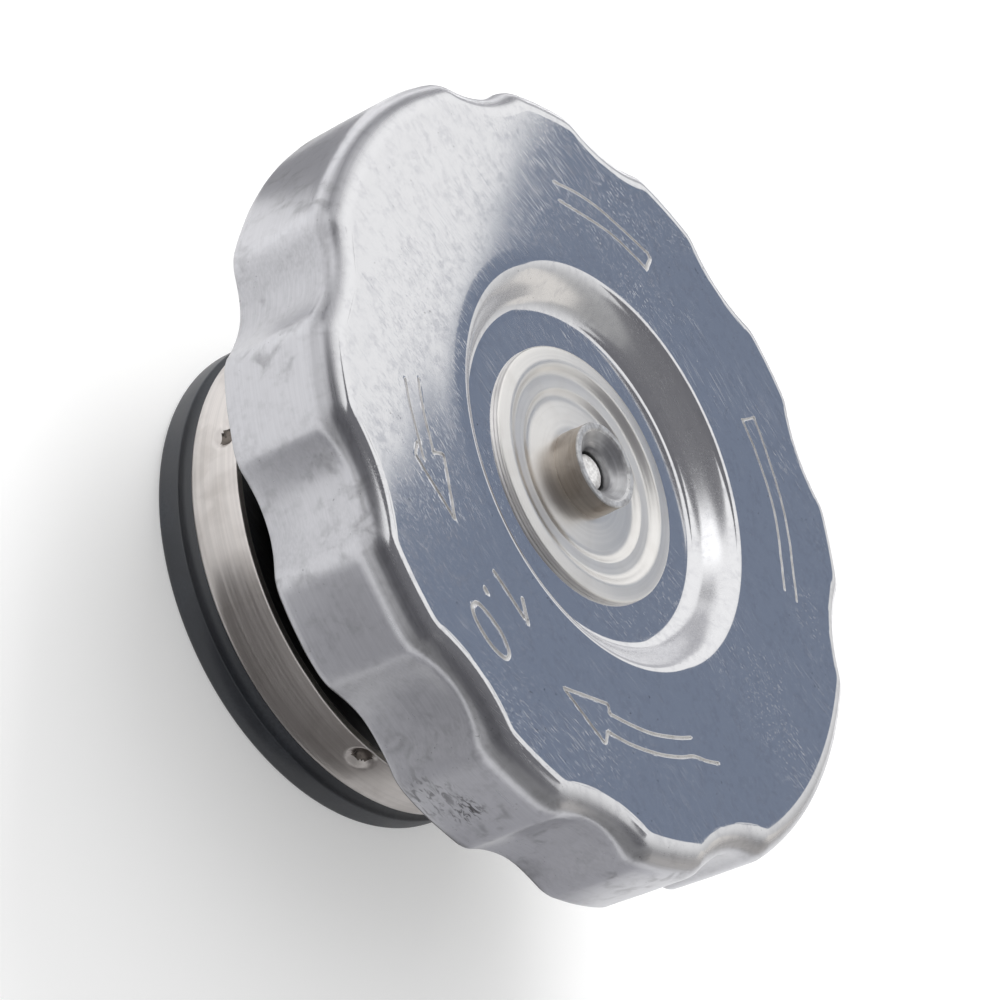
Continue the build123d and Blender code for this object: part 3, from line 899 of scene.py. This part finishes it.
    def face_sheet(self, rim: Array, mouth: Array) -> tuple[Array, Array, Array]:
        """Triangles of the flat face, dense along the marks.

        Args:
            rim: the face's outer ring (n, 3).
            mouth: the recess's upper ring (n, 3).

        Returns:
            Points (n, 3), triangles (m, 3) and each triangle's zone, 1 in a scribed stroke.
        """
        rows = [row for mark in MARKS for row in mark.rows(self.mark_step, self.mark_rows)]
        spacing = self.face_step
        steps = np.arange(-self.land_radius, self.land_radius, spacing)
        grid = np.stack(np.meshgrid(steps, steps), -1).reshape(-1, 2)
        grid[:, 0] += spacing / 2 * (np.round(grid[:, 1] / spacing) % 2)
        far, edge = self.beside(grid, rim)
        grid = grid[(far > self.mouth + self.mouth_cut + 0.9) & (far < edge - 1.0)]
        kept: dict[tuple[int, int], Array] = {}
        for place in np.concatenate(rows):
            cell = round(place[0] / self.mark_cell), round(place[1] / self.mark_cell)
            kept.setdefault(cell, place)
        dense = np.array(list(kept.values()))
        clear = [np.min(np.abs(dense - point).max(1)) > self.mark_gap for point in grid]
        inner = np.concatenate([dense, grid[clear]])
        beside = ((rim, 0), (mouth, 0), (rim, -0.15), (rim, -0.4), (mouth, 0.12), (mouth, 0.3))
        loops = [ring[:, :2] * (1 + shift / np.linalg.norm(ring[:, :2], axis=1))[:, None]
                 for ring, shift in beside]
        fixed = [[loop * self.columns + k, loop * self.columns + (k + 1) % self.columns]
                 for loop in range(len(loops)) for k in range(self.columns)]
        flat = np.concatenate([*loops, inner])
        found = delaunay_2d_cdt([Vector(place) for place in flat.tolist()], fixed, [], 0, 1e-6)
        points = np.array([tuple(place) for place in found[0]])
        triangles = np.array([face for face in found[2] if len(face) == 3])
        far, edge = self.beside(points[triangles].mean(1), rim)
        triangles = triangles[(far > self.mouth + self.mouth_cut - 0.001) & (far < edge)]
        height, inside = self.groove(points)
        far, edge = self.beside(points, rim)
        inland = np.clip(np.minimum(far - self.mouth - self.mouth_cut, edge - far) / 4.0, 0, 1)
        inland = inland ** 2 * (3 - 2 * inland)
        spread = np.column_stack([points, np.zeros(len(points))])
        height += self.sag * inland * (0.6 * ripple(spread, 13.0, 2.2) - 0.6)
        solid = np.column_stack([points, rim[0, 2] + height])
        return solid, triangles, (inside[triangles].mean(1) > self.mark_share).astype(int)

    def build(self, finish: Material, scribed: Material) -> Object:
        """Build the crown as one closed skin.

        Args:
            finish: the pressed sheet.
            scribed: the bottoms of the marks.

        Returns:
            The new object.
        """
        skin = Skin("fluted_crown")
        wall = self.wall()
        upper, under = self.recess()
        above, below = turned(upper, self.columns), turned(under, self.columns)
        points, triangles, zones = self.face_sheet(wall[0], above[0])
        skin.add(points, triangles, zones)
        skin.add_rings(wall)
        skin.add_rings([*above, *below, wall[-1]])
        return skin.build([finish, scribed])


# ---- the disc, rivet and stem ----------------------------------------------------------------


@dataclass(frozen=True)
class RibbedDisc:
    """The nickel-plated disc in the recess: a rim with a groove, two steps and a dish."""

    rim: float = 36.85
    radius: float = 15.0
    wave: float = 0.02  # how far the pressing waves out of flat
    columns: int = 256

    def build(self, finish: Material) -> Object:
        """Build the disc as one closed skin with softened ribs.

        Args:
            finish: the disc's plate.

        Returns:
            The new object.
        """
        top = self.rim
        section = rounded([(radius, top + level, cut) for radius, level, cut in (
            (4.0, -0.70, 0.0), (5.6, -0.72, 0.4), (9.1, -1.08, 0.6), (9.7, -0.92, 0.3),
            (10.15, -0.66, 0.2), (10.5, -0.66, 0.2), (11.9, -0.62, 0.5), (12.6, -0.12, 0.5),
            (13.1, 0.0, 0.3), (14.4, -0.14, 0.2), (15.0, -0.22, 0.3), (15.0, -0.85, 0.1),
            (14.5, -0.85, 0.1), (14.5, -0.5, 0.2), (13.4, -0.5, 0.2), (12.9, -0.88, 0.2),
            (12.0, -0.9, 0.2), (10.9, -1.3, 0.2), (10.2, -1.55, 0.2), (7.6, -1.85, 0.4),
            (4.0, -1.85, 0.0))], 8)
        skin = Skin("ribbed_disc_plate")
        skin.add_rings([lowered(ring, self.wave * (1 + ripple(ring, 5.0, 4.4)))
                        for ring in turned(section, self.columns)], closed=True)
        return skin.build([finish])


@dataclass(frozen=True)
class HollowRivet:
    """The rivet through the whole cap: a turned head with a funnel mouth, and a flared tail."""

    seat: float = 35.5
    top: float = 39.35
    head: float = 4.95
    foot: float = 5.0
    shank: float = 3.9
    bore: float = 2.4
    stem: float = 1.82
    ledge: float = 33.6
    tail: float = 5.6
    tail_seat: float = 31.1
    low: float = 29.9
    beat_reach: float = 1.6  # how far below the rim the tool's marks reach
    beat_depth: float = 0.035
    columns: int = 160

    def build(self, side: Material, rim: Material, funnel: Material) -> Object:
        """Build the rivet, its side, rim and funnel in their own finishes.

        Args:
            side: the outside.
            rim: the head's rim.
            funnel: the funnel and the bore.

        Returns:
            The new object.
        """
        outside = rounded([
            (self.stem, self.low, 0.0), (self.tail, self.low, 0.8),
            (self.tail, self.tail_seat, 0.1), (self.shank, self.tail_seat, 0.1),
            (self.shank, self.seat, 0.0), (self.foot, self.seat, 0.1),
            (self.foot + 0.03, self.seat + 1.6, 0.3), (self.head, self.seat + 2.4, 0.3),
            (self.head, self.top - 0.22, 0.0)], 4, closed=False)
        lip = self.head - 0.72
        edge = rounded([(self.head, self.top - 0.22, 0.0), (self.head, self.top, 0.2),
                        (lip, self.top, 0.16), (lip - 0.22, self.top - 0.2, 0.0)], 5, closed=False)
        inside = rounded([
            (lip - 0.22, self.top - 0.2, 0.0), (lip - 0.95, self.top - 0.75, 0.45),
            (self.bore + 0.3, self.top - 1.2, 0.35), (self.bore, self.top - 1.75, 0.3),
            (self.bore, self.ledge, 0.1), (self.stem, self.ledge, 0.1),
            (self.stem, self.low, 0.0)], 6, closed=False)
        skin = Skin("hollow_rivet_turned")
        for zone, section in enumerate((outside, edge, inside)):
            skin.add_rings(self.beaten(turned(section, self.columns)), zone=zone)
        return skin.build([side, rim, funnel])

    def beaten(self, rings: list[Array]) -> list[Array]:
        """Rings with the uneven rim that a riveting tool leaves.

        Args:
            rings: points (n, 3) of each ring.

        Returns:
            The beaten rings.
        """
        out = []
        for ring in rings:
            high = np.clip((ring[:, 2] - self.top + self.beat_reach) / self.beat_reach, 0, 1)
            out.append(lowered(ring, high * self.beat_depth * (1 + ripple(ring, 1.5, 5.0))))
        return out


@dataclass(frozen=True)
class ValveStem:
    """The turned pin down the middle, hammered rough on top and peened below."""

    top: float = 37.55
    ledge: float = 33.6
    head: float = 2.1
    radius: float = 1.75
    collar: float = 3.0
    collar_low: float = 9.0
    collar_high: float = 12.0
    peen: float = 2.6
    washer: float = 1.8
    low: float = 0.9
    columns: int = 96

    def build(self, finish: Material, end: Material) -> Object:
        """Build the pin, with its hammered end in its own finish.

        Args:
            finish: the turned pin.
            end: its hammered end.

        Returns:
            The new object.
        """
        pin = rounded([
            (0.0, self.low, 0.0), (self.peen, self.low, 0.6), (self.peen, self.washer, 0.1),
            (self.radius, self.washer, 0.0), (self.radius, self.collar_low, 0.0),
            (self.collar, self.collar_low, 0.1), (self.collar, self.collar_high, 0.2),
            (self.radius, self.collar_high, 0.1), (self.radius, self.ledge, 0.0),
            (self.head, self.ledge, 0.1), (self.head, self.top - 0.7, 0.0)], 4, closed=False)
        steps = np.linspace(self.head, 0, 26)
        crown = np.column_stack([steps, self.top - 0.12 - 0.5 * (steps / self.head) ** 4])
        crown = np.concatenate([[(self.head, self.top - 0.7)], crown])
        rough = []
        for ring in turned(crown, self.columns):
            flat = ring * FLAT
            depth = 0.11 * np.abs(ripple(flat, 0.55, 6.1)) + 0.07 * ripple(flat, 1.4, 8.2)
            held = np.clip((self.head - np.linalg.norm(ring[:, :2], axis=1)) / 0.4, 0, 1)
            rough.append(lowered(ring, depth * held))
        skin = Skin("valve_stem_pin")
        skin.add_rings(turned(pin, self.columns), zone=0)
        skin.add_rings(rough, zone=1)
        return skin.build([finish, end])


# ---- the valve cup and its seal ---------------------------------------------------------------


@dataclass(frozen=True)
class ValveCup:
    """The deep-drawn cup whose wall is the band below the crown, dimpled by four stakes."""

    floor: float = 4.8
    rim: float = 12.0
    radius: float = 29.25
    sheet: float = 0.8
    boss: float = 15.6
    boss_floor: float = 8.2
    bore: float = 1.85
    stake_level: float = 10.1
    stake_width: float = 1.9
    stake_depth: float = 0.95
    stake_angles: tuple[float, ...] = (208.5, 289.3, 28.5, 109.3)
    pit_reach: float = 1.25
    vent_circle: float = 7.5
    vent: float = 1.6
    vents: int = 6
    columns: int = 720

    def build(self, finish: Material, pits: Material) -> Object:
        """Build the cup as one closed skin, with its vents bored and its stakes pressed in.

        Args:
            finish: the drawn sheet.
            pits: the bottoms of the dimples.

        Returns:
            The new object.
        """
        wall = [(self.radius, level, 0.0) for level in np.linspace(6.4, 11.5, 22)]
        inside, low = self.radius - self.sheet, self.floor + self.sheet
        boss_side, boss_top = self.boss - self.sheet, self.boss_floor + self.sheet
        outer = rounded([(boss_side, self.floor, 0.1), (self.radius, self.floor, 1.4), *wall,
                         (self.radius, self.rim, 0.22), (inside, self.rim, 0.3)], 5, closed=False)
        inner_wall = [(inside, level, 0.0) for level in np.linspace(11.6, 6.4, 16)]
        inner = rounded([*inner_wall, (inside, low, 0.1), (self.boss, low, 0.1),
                         (self.boss, boss_top, 1.0), (self.bore, boss_top, 0.0),
                         (self.bore, self.boss_floor, 0.0), (boss_side, self.boss_floor, 0.2)],
                        5, closed=False)
        skin = Skin("valve_cup_drawn")
        section = np.concatenate([outer[1:], inner, outer[:1]])
        rings = [self.staked(ring) for ring in turned(section, self.columns)]
        skin.add_rings(rings, closed=True)
        made = skin.build([finish, pits])
        self.mark_pits(made)
        self.bore_vents(made)
        return made

    def staked(self, ring: Array) -> Array:
        """Ring with the stakes' dimples pressed in from outside, and a slightly uneven rim.

        Args:
            ring: points (n, 3).

        Returns:
            The dimpled ring, or the same ring where it lies inside the wall.
        """
        radius, angle = np.linalg.norm(ring[:, :2], axis=1), np.arctan2(ring[:, 1], ring[:, 0])
        if radius.min() < self.radius - 1.5 * self.sheet:
            return ring
        push = np.zeros(len(ring))
        for stake in self.stake_angles:
            across = (angle - radians(stake) + pi) % (2 * pi) - pi
            away = np.hypot(across * self.radius, ring[:, 2] - self.stake_level) / self.stake_width
            push += self.stake_depth * np.maximum(0, 1 - away ** 2) ** 1.5
            push += 0.10 * np.exp(-((away - 0.2) / 0.22) ** 2) * (1 + ripple(ring, 0.5, 9.0))
        wave = 0.04 * (1 + ripple(ring, 7.0, 2.0))
        lift = -0.05 * np.clip((ring[:, 2] - 11.0), 0, 1) * (1 + ripple(ring * FLAT, 3.5, 4.0))
        factor = (radius - push - wave) / radius
        return np.column_stack([ring[:, :2] * factor[:, None], ring[:, 2] + lift])

    def mark_pits(self, made: Object) -> None:
        """Give the bottoms of the dimples the dull pitted finish.

        Args:
            made: the cup's object.
        """
        for stake in self.stake_angles:
            spot = Vector((self.radius * cos(radians(stake)), self.radius * sin(radians(stake)),
                           self.stake_level)) * MM
            for face in made.data.polygons:
                if (face.center - spot).length < self.pit_reach * MM:
                    face.material_index = 1

    def bore_vents(self, made: Object) -> None:
        """Cut the vent holes through the boss.

        Args:
            made: the cup's object.
        """
        for at in range(self.vents):
            angle = 2 * pi * at / self.vents
            centre = (self.vent_circle * MM * cos(angle), self.vent_circle * MM * sin(angle),
                      (self.boss_floor + self.sheet / 2) * MM)
            bpy.ops.mesh.primitive_cylinder_add(vertices=48, radius=self.vent * MM,
                                                depth=4 * self.sheet * MM, location=centre)
            drill = bpy.context.object
            cut = made.modifiers.new("vent", "BOOLEAN")
            cut.operation, cut.object, cut.solver = "DIFFERENCE", drill, "EXACT"
            with bpy.context.temp_override(object=made, active_object=made):
                bpy.ops.object.modifier_apply(modifier=cut.name)
            bpy.data.objects.remove(drill)


@dataclass(frozen=True)
class LowerSeal:
    """The rubber ring under the cup, waisted outside and slotted inside for its carrier."""

    radius: float = 29.25
    top: float = 4.8
    groove: float = 1.6
    groove_depth: float = 1.2
    inner: float = 24.7
    slot: float = 26.7
    slot_low: float = 0.8
    slot_high: float = 1.8
    columns: int = 360

    def build(self, finish: Material) -> Object:
        """Build the ring as one closed skin.

        Args:
            finish: the rubber.

        Returns:
            The new object.
        """
        hollow = [(self.radius - self.groove_depth * (1 - (1 - t) ** 2) ** 0.5,
                   self.top - self.groove * (1 - t), 0.0) for t in np.linspace(0.08, 1, 8)]
        section = rounded([
            (self.inner, 0.0, 0.12), (self.radius, 0.0, 0.75),
            (self.radius, self.top - self.groove, 0.18), *hollow,
            (self.inner, self.top, 0.1), (self.inner, self.slot_high, 0.1),
            (self.slot, self.slot_high, 0.1), (self.slot, self.slot_low, 0.1),
            (self.inner, self.slot_low, 0.1)], 5)
        skin = Skin("lower_seal_ring")
        skin.add_rings(turned(section, self.columns), closed=True)
        return skin.build([finish])


# ---- the springs ------------------------------------------------------------------------------


@dataclass(frozen=True)
class CoilSpring:
    """A compression spring with closed ground ends, between the bodies it pushes apart."""

    name: str
    node: str
    radius: float
    wire: float
    low: float
    high: float
    live_turns: int
    lower_body: str
    upper_body: str
    dead_rise: float = 1.03
    steps: int = 96
    sides: int = 20

    def build(self, finish: Material) -> Object:
        """Sweep the wire along its helix and grind both ends flat.

        Args:
            finish: the wire.

        Returns:
            The new object.
        """
        rise = self.dead_rise * self.wire
        turns = [0, 1, 1 + self.live_turns, 2 + self.live_turns]
        at = np.linspace(0, turns[-1], turns[-1] * self.steps + 1)
        centres = np.interp(at, turns, [self.low, self.low + rise, self.high - rise, self.high])
        around = np.linspace(0, 2 * pi, self.sides, endpoint=False)
        reach = self.radius + self.wire / 2 * np.cos(around)
        rings = []
        for turn, centre in zip(at, centres):
            level = np.clip(centre + self.wire / 2 * np.sin(around), self.low, self.high)
            angle = 2 * pi * turn
            rings.append(np.stack([reach * cos(angle), reach * sin(angle), level], 1))
        skin = Skin(self.name)
        skin.add_rings(rings)
        for ring in (rings[0], rings[-1]):
            skin.add(ring, np.arange(self.sides)[None])
        made = skin.build([finish])
        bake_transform(made)
        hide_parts(self.node)
        LOG.info("%s bends between %s and %s and stands for %s", self.name, self.lower_body,
                 self.upper_body, self.node)
        return made


PRESSURE_SPRING = CoilSpring(
    name="pressure_spring_coil", node="pressure_spring", radius=17.9, wire=3.6, low=6.3, high=31.9,
    live_turns=4, lower_body="pressure_valve", upper_body="seal_head")
SUCTION_SPRING = CoilSpring(
    name="suction_spring_coil", node="suction_spring", radius=4.6, wire=0.6, low=2.6, high=6.4,
    live_turns=2, lower_body="pressure_valve", upper_body="suction_valve")


# ---- the finishes ---------------------------------------------------------------------------

# Zinc plate on pressed steel: pale grey gone a little warm, with rings from the press under it
ZINC_PLATE = Metal("zinc_plated_steel", "#A9A79F", "#7F7C74", 0.34, patch=6.0)
# Phosphated steel: nearly black, fine-grained and dull
PHOSPHATED = Metal("phosphated_steel", "#5A5A5C", "#3F3F41", 0.52, run=Grain.CAST,
                   spacing=0.4, patch=4.0)
# Oiled spring wire: dark drawn steel with long glossy streaks
SPRING_WIRE = Metal("oiled_spring_wire", "#55565A", "#2F3033", 0.30, spacing=0.3,
                    length=20.0, patch=5.0)
# Plain sheet steel: mid grey with rolling lines
PLAIN_STEEL = Metal("rolled_sheet_steel", "#9A9A9C", "#6C6A68", 0.38, run=Grain.ROLLED, patch=6.0)
# Stainless sheet: light neutral grey, softly satin
STAINLESS = Metal("stainless_sheet", "#A8A5A1", "#8A8682", 0.30, patch=8.0)
# Stamped brass: warm yellow, going brown in patches
BRASS = Metal("stamped_brass", "#C9A85C", "#8F6F38", 0.28, run=Grain.CAST, spacing=0.5, patch=5.0)
# Stainless spring wire: bright, drawn lengthways
FINE_WIRE = Metal("stainless_wire", "#B4B3B1", "#8C8A88", 0.25, spacing=0.2, length=8.0, patch=3.0)
# Nickel plate on pressed sheet: warm and clean, softly satin
NICKEL_PLATE = Metal("nickel_plated_sheet", "#F0EEEB", "#E4E1DD", 0.31, spread=0.04, spacing=0.4,
                     length=40.0, depth=0.0006, patch=4.0, dullness=0.4, contrast=0.05)
# Turned steel gone brown with handling: rings from the tool, dull patches
BROWNED_STEEL = Metal("turned_steel_browned", "#B4ACA4", "#8E8378", 0.34, spacing=0.22,
                      depth=0.0010, patch=2.4, dullness=0.5)
# The same steel where the riveting tool has burnished it
BURNISHED_STEEL = Metal("burnished_steel", "#DDDDDE", "#A3A2A2", 0.42, run=Grain.CAST, spacing=0.4,
                        depth=0.004, patch=1.4, dullness=0.6, pits=0.5, pit_size=0.35)
# The funnel in the rivet's head, swept by the riveting tool: greyer and duller than its rim, as
# painted shade for the hollow
FUNNEL_STEEL = Metal("swept_steel_funnel", "#C6C6C8", "#A0A0A2", 0.38, spacing=0.25, depth=0.0012,
                     patch=1.8, dullness=0.5)
# A hammered end: coarse, broken and pale, and so torn that it mirrors little
HAMMERED_STEEL = Metal("hammered_steel_end", "#F6F5F4", "#C4C2C0", 0.55, run=Grain.CAST,
                       spacing=0.35, depth=0.012, patch=0.8, pits=0.3, pit_size=0.3, metallic=0.3)
# Deep-drawn stainless band: warm grey satin, drawn lines running round it
BAND_STEEL = Metal("drawn_stainless_band", "#D9D4D1", "#B4AEAA", 0.34, spread=0.08, spacing=0.3,
                   length=22.0, depth=0.0008, patch=5.0, dullness=0.45, contrast=0.10)
# The bottom of a stake's dimple: darker, rough and torn steel
PITTED_STEEL = Metal("pitted_steel", "#7A736D", "#2B2826", 0.45, run=Grain.CAST, spacing=0.35,
                     depth=0.02, patch=0.9, dullness=0.95)
# Scribed aluminium: a torn groove that scatters light and looks pale
SCRIBED = Metal("scribed_aluminium", "#E8E7E6", "#CFCDCB", 0.50, run=Grain.CAST, spacing=0.18,
                depth=0.008, patch=1.5)
# Black moulded rubber with a blue cast and a little bloom
SEAL_RUBBER = Rubber("moulded_seal_rubber", "#23272F", "#363B43")

KEPT_NODES = {
    "locking_shell": ZINC_PLATE, "friction_washer": PLAIN_STEEL, "diaphragm": STAINLESS,
    "upper_seal": SEAL_RUBBER, "seal_clamp_ring": ZINC_PLATE, "spring_bell": PHOSPHATED,
    "tail_washer": ZINC_PLATE, "spring_pan": PLAIN_STEEL, "seal_carrier": STAINLESS,
    "guide_sleeve": BRASS, "suction_seal": SEAL_RUBBER, "suction_plate": BRASS,
    "suction_washer": BRASS,
}


# ---- the studio -------------------------------------------------------------------------------


@dataclass(frozen=True)
class Card:
    """A plain card that only the metal mirrors: a grey flag, or a white reflector.

    Attributes are its name, the place of its middle, half its width and half its height as vectors,
    its colour and how brightly it is lit.
    """

    name: str
    place: Triple
    across: Triple
    rise: Triple
    colour: str = "#FFFFFF"
    light: float = 1.0

    def build(self) -> None:
        """Hang the card where only the metal sees it."""
        made, tree = self.hang(self.name)
        add(tree, Step.SHOWN, add(tree, Step.GLOW, linear(self.colour), self.light))
        made.visible_camera = made.visible_diffuse = made.visible_shadow = False
        made.visible_transmission = made.visible_volume_scatter = False

    def hang(self, finish: str) -> tuple[Object, bpy.types.NodeTree]:
        """Make the card's object, with an empty material of a name.

        Args:
            finish: the material's name.

        Returns:
            The object, and its material's node tree.
        """
        middle, across, rise = Vector(self.place), Vector(self.across), Vector(self.rise)
        corners = [(middle + across * i + rise * j) * MM
                   for i, j in ((-1, -1), (1, -1), (1, 1), (-1, 1))]
        mesh = bpy.data.meshes.new(self.name)
        mesh.from_pydata(corners, [], [(0, 1, 2, 3)])
        material = bpy.data.materials.new(finish)
        mesh.materials.append(material)
        made = bpy.data.objects.new(self.name, mesh)
        bpy.context.scene.collection.objects.link(made)
        return made, cleared(material)


@dataclass(frozen=True)
class Studio:
    """Camera, floor, lamp and the room that the metal mirrors."""

    eye: Triple = (-99.993, -294.62, 225.014)
    right: Triple = (0.546365, 0.336863, 0.766817)
    up: Triple = (-0.793765, 0.500401, 0.34574)
    back: Triple = (-0.267249, -0.797573, 0.540792)
    lens: float = 120.23
    sensor: float = 36.0
    floor_reach: float = 2500.0
    floor_albedo: float = 0.72
    floor_lift: float = 0.33
    window: Triple = (-0.75, 0.45, 0.48)
    window_light: float = 1.0
    window_span: Pair = (-0.7, 0.75)  # cosines to the window at which its light begins and is full
    room_light: float = 0.34
    lamp_way: Triple = (-0.30, 0.80, 0.52)
    lamp_aim: Triple = (0, 0, 25)
    lamp_distance: float = 900.0
    lamp_size: float = 420.0
    lamp_share: float = 0.95  # how white it alone makes paper that faces it, where 1 is white
    cards: tuple[Card, ...] = ()

    def camera(self) -> None:
        """Set the camera where the photograph was taken."""
        data = bpy.data.cameras.new("camera")
        data.lens, data.sensor_width = self.lens, self.sensor
        data.clip_start, data.clip_end = 0.01, 20.0
        made = bpy.data.objects.new("camera", data)
        turn = Matrix((self.right, self.up, self.back)).transposed().to_4x4()
        made.matrix_world = Matrix.Translation(Vector(self.eye) * MM) @ turn
        bpy.context.scene.collection.objects.link(made)
        bpy.context.scene.camera = made

    def floor(self) -> None:
        """Lay the pale floor: it takes shadows, and is clear from below."""
        reach = self.floor_reach
        tree = Card("floor", (0, 0, 0), (reach, 0, 0), (0, reach, 0)).hang("pale_floor")[1]
        camera = add(tree, Step.RAY)
        seen = add(tree, Step.MOST, camera, camera.node.outputs["Is Glossy Ray"])
        seen = add(tree, Step.MOST, seen, camera.node.outputs["Is Transmission Ray"])
        glow = add(tree, Step.GLOW, linear("#FFFFFF"), add(tree, Step.TIMES, seen, self.floor_lift))
        paper = add(tree, Step.PAPER, (self.floor_albedo,) * 3 + (1.0,))
        above = add(tree, Step.BOTH, paper, glow)
        below = add(tree, Step.CLEAR)
        add(tree, Step.SHOWN, add(tree, Step.EITHER, add(tree, Step.BEHIND), above, below))

    def room(self) -> None:
        """Build the room's light, bright towards the window and dim away from it."""
        world = bpy.context.scene.world = bpy.data.worlds.new("studio")
        tree = cleared(world)
        towards = add(tree, Step.TOWARDS, add(tree, Step.WAY), Vector(self.window).normalized())
        light = add(tree, Step.EASED, towards, *self.window_span, self.room_light,
                    self.window_light)
        add(tree, Step.WORLD, add(tree, Step.SKY, linear("#FFFFFF"), light))

    def softbox(self) -> None:
        """Hang the soft rectangular lamp, which faces the cap and isn't mirrored."""
        data = bpy.data.lights.new("back_softbox", "AREA")
        data.shape, data.size, data.size_y = "RECTANGLE", self.lamp_size * MM, self.lamp_size * MM
        data.energy = self.lamp_share * (pi * self.lamp_distance * MM) ** 2
        made = bpy.data.objects.new("back_softbox", data)
        way = Vector(self.lamp_way)
        made.location = (way.normalized() * self.lamp_distance + Vector(self.lamp_aim)) * MM
        made.rotation_mode = "QUATERNION"
        made.rotation_quaternion = way.to_track_quat("Z", "Y")
        made.visible_camera = made.visible_glossy = False
        bpy.context.scene.collection.objects.link(made)

    def build(self) -> None:
        """Set up the whole studio."""
        bpy.context.scene.view_settings.view_transform = "Standard"
        self.camera()
        self.floor()
        self.room()
        for card in self.cards:
            card.build()
        self.softbox()


CARDS = (
    Card("blue_grey_flag", (504, 1220, 735), (176, 26, -132), (-134, 140, -152), "#7A8496"),
    Card("overhead_flag", (0, -940, 1500), (1400, 0, 0), (0, 1140, 0), "#737377"),
    Card("back_overhead_flag", (375, 590, 1500), (525, 0, 0), (0, 390, 0), "#737377"),
    Card("left_reflector", (-1230, 45, 885), (0, 330, 0), (142, 0, 205), "#FFFFFF", 1.4),
    Card("low_left_flag", (-1170, 744, 573), (102, 160, 0), (51, -32, 147), "#8A8A8E"),
    Card("horizon_flag", (-715, 1144, 300), (440, 275, 0), (0, 0, 190), "#B4B4B8"),
    Card("back_flag", (180, 1400, 150), (450, 0, 0), (0, 0, 150), "#C0C0C4"),
    Card("right_reflector", (1300, 480, 380), (-200, 560, 0), (0, 0, 300), "#F4F0EA", 0.9),
    Card("table_flag", (-2, -104, 1), (40, 0, 0), (0, 32, 0), "#ACACB0"),
    Card("side_table_flag", (115, -60, 1), (77, 0, 0), (0, 42, 0), "#C2C2C6"),
    Card("far_table_flag", (-80, 46, 1), (30, 0, 0), (0, 22, 0), "#A2A2A6"),
    Card("back_table_flag", (-35, 132, 1), (45, 0, 0), (0, 34, 0), "#BCBCC0"),
    Card("table_reflector", (-88, -4, 1), (14, 0, 0), (0, 16, 0), "#FFFFFF", 1.4),
    # shade_flag is painted shadow: a dark card that only the metal mirrors, standing in for the
    # contact shadow under the crown's front
    Card("shade_flag", (12, -40, 1), (36, 0, 0), (0, 10, 0), "#605E5E"),
)


def main() -> None:
    """Build the cap's dressed pieces, the finishes and the studio."""
    logging.basicConfig(level=logging.INFO, format="%(name)s %(message)s")
    pressed = PressedAluminium(Crown.face, Crown.land_radius)
    finishes = {finish.name: finish.material() for finish in (
        pressed, ZINC_PLATE, PHOSPHATED, SPRING_WIRE, PLAIN_STEEL, STAINLESS, BRASS, FINE_WIRE,
        NICKEL_PLATE, BROWNED_STEEL, BURNISHED_STEEL, FUNNEL_STEEL, HAMMERED_STEEL, BAND_STEEL,
        PITTED_STEEL, SCRIBED, SEAL_RUBBER)}

    def take(finish: Metal | Rubber | PressedAluminium) -> Material:
        """The material already made for a finish."""
        return finishes[finish.name]

    pieces = (
        (Crown().build(take(pressed), take(SCRIBED)), "cap_shell", "crown"),
        (RibbedDisc().build(take(NICKEL_PLATE)), "cap_shell", "ribbed_disc"),
        (HollowRivet().build(take(BROWNED_STEEL), take(BURNISHED_STEEL), take(FUNNEL_STEEL)),
         "cap_shell", "hollow_rivet"),
        (ValveStem().build(take(BURNISHED_STEEL), take(HAMMERED_STEEL)), "pressure_valve",
         "valve_stem"),
        (ValveCup().build(take(BAND_STEEL), take(PITTED_STEEL)), "pressure_valve", "valve_cup"),
        (LowerSeal().build(take(SEAL_RUBBER)), "pressure_valve", "lower_seal"),
    )
    for piece, body, node in pieces:
        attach(piece, body)
        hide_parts(node)
        LOG.info("%s rides %s and stands for %s", piece.name, body, node)
    PRESSURE_SPRING.build(take(SPRING_WIRE))
    SUCTION_SPRING.build(take(FINE_WIRE))
    for node, finish in KEPT_NODES.items():
        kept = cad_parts[node]
        for slot in kept.material_slots:
            slot.material = take(finish)
        LOG.info("%s wears %s", node, finish.name)
    Studio(cards=CARDS).build()


if __name__ == "__main__":
    main()
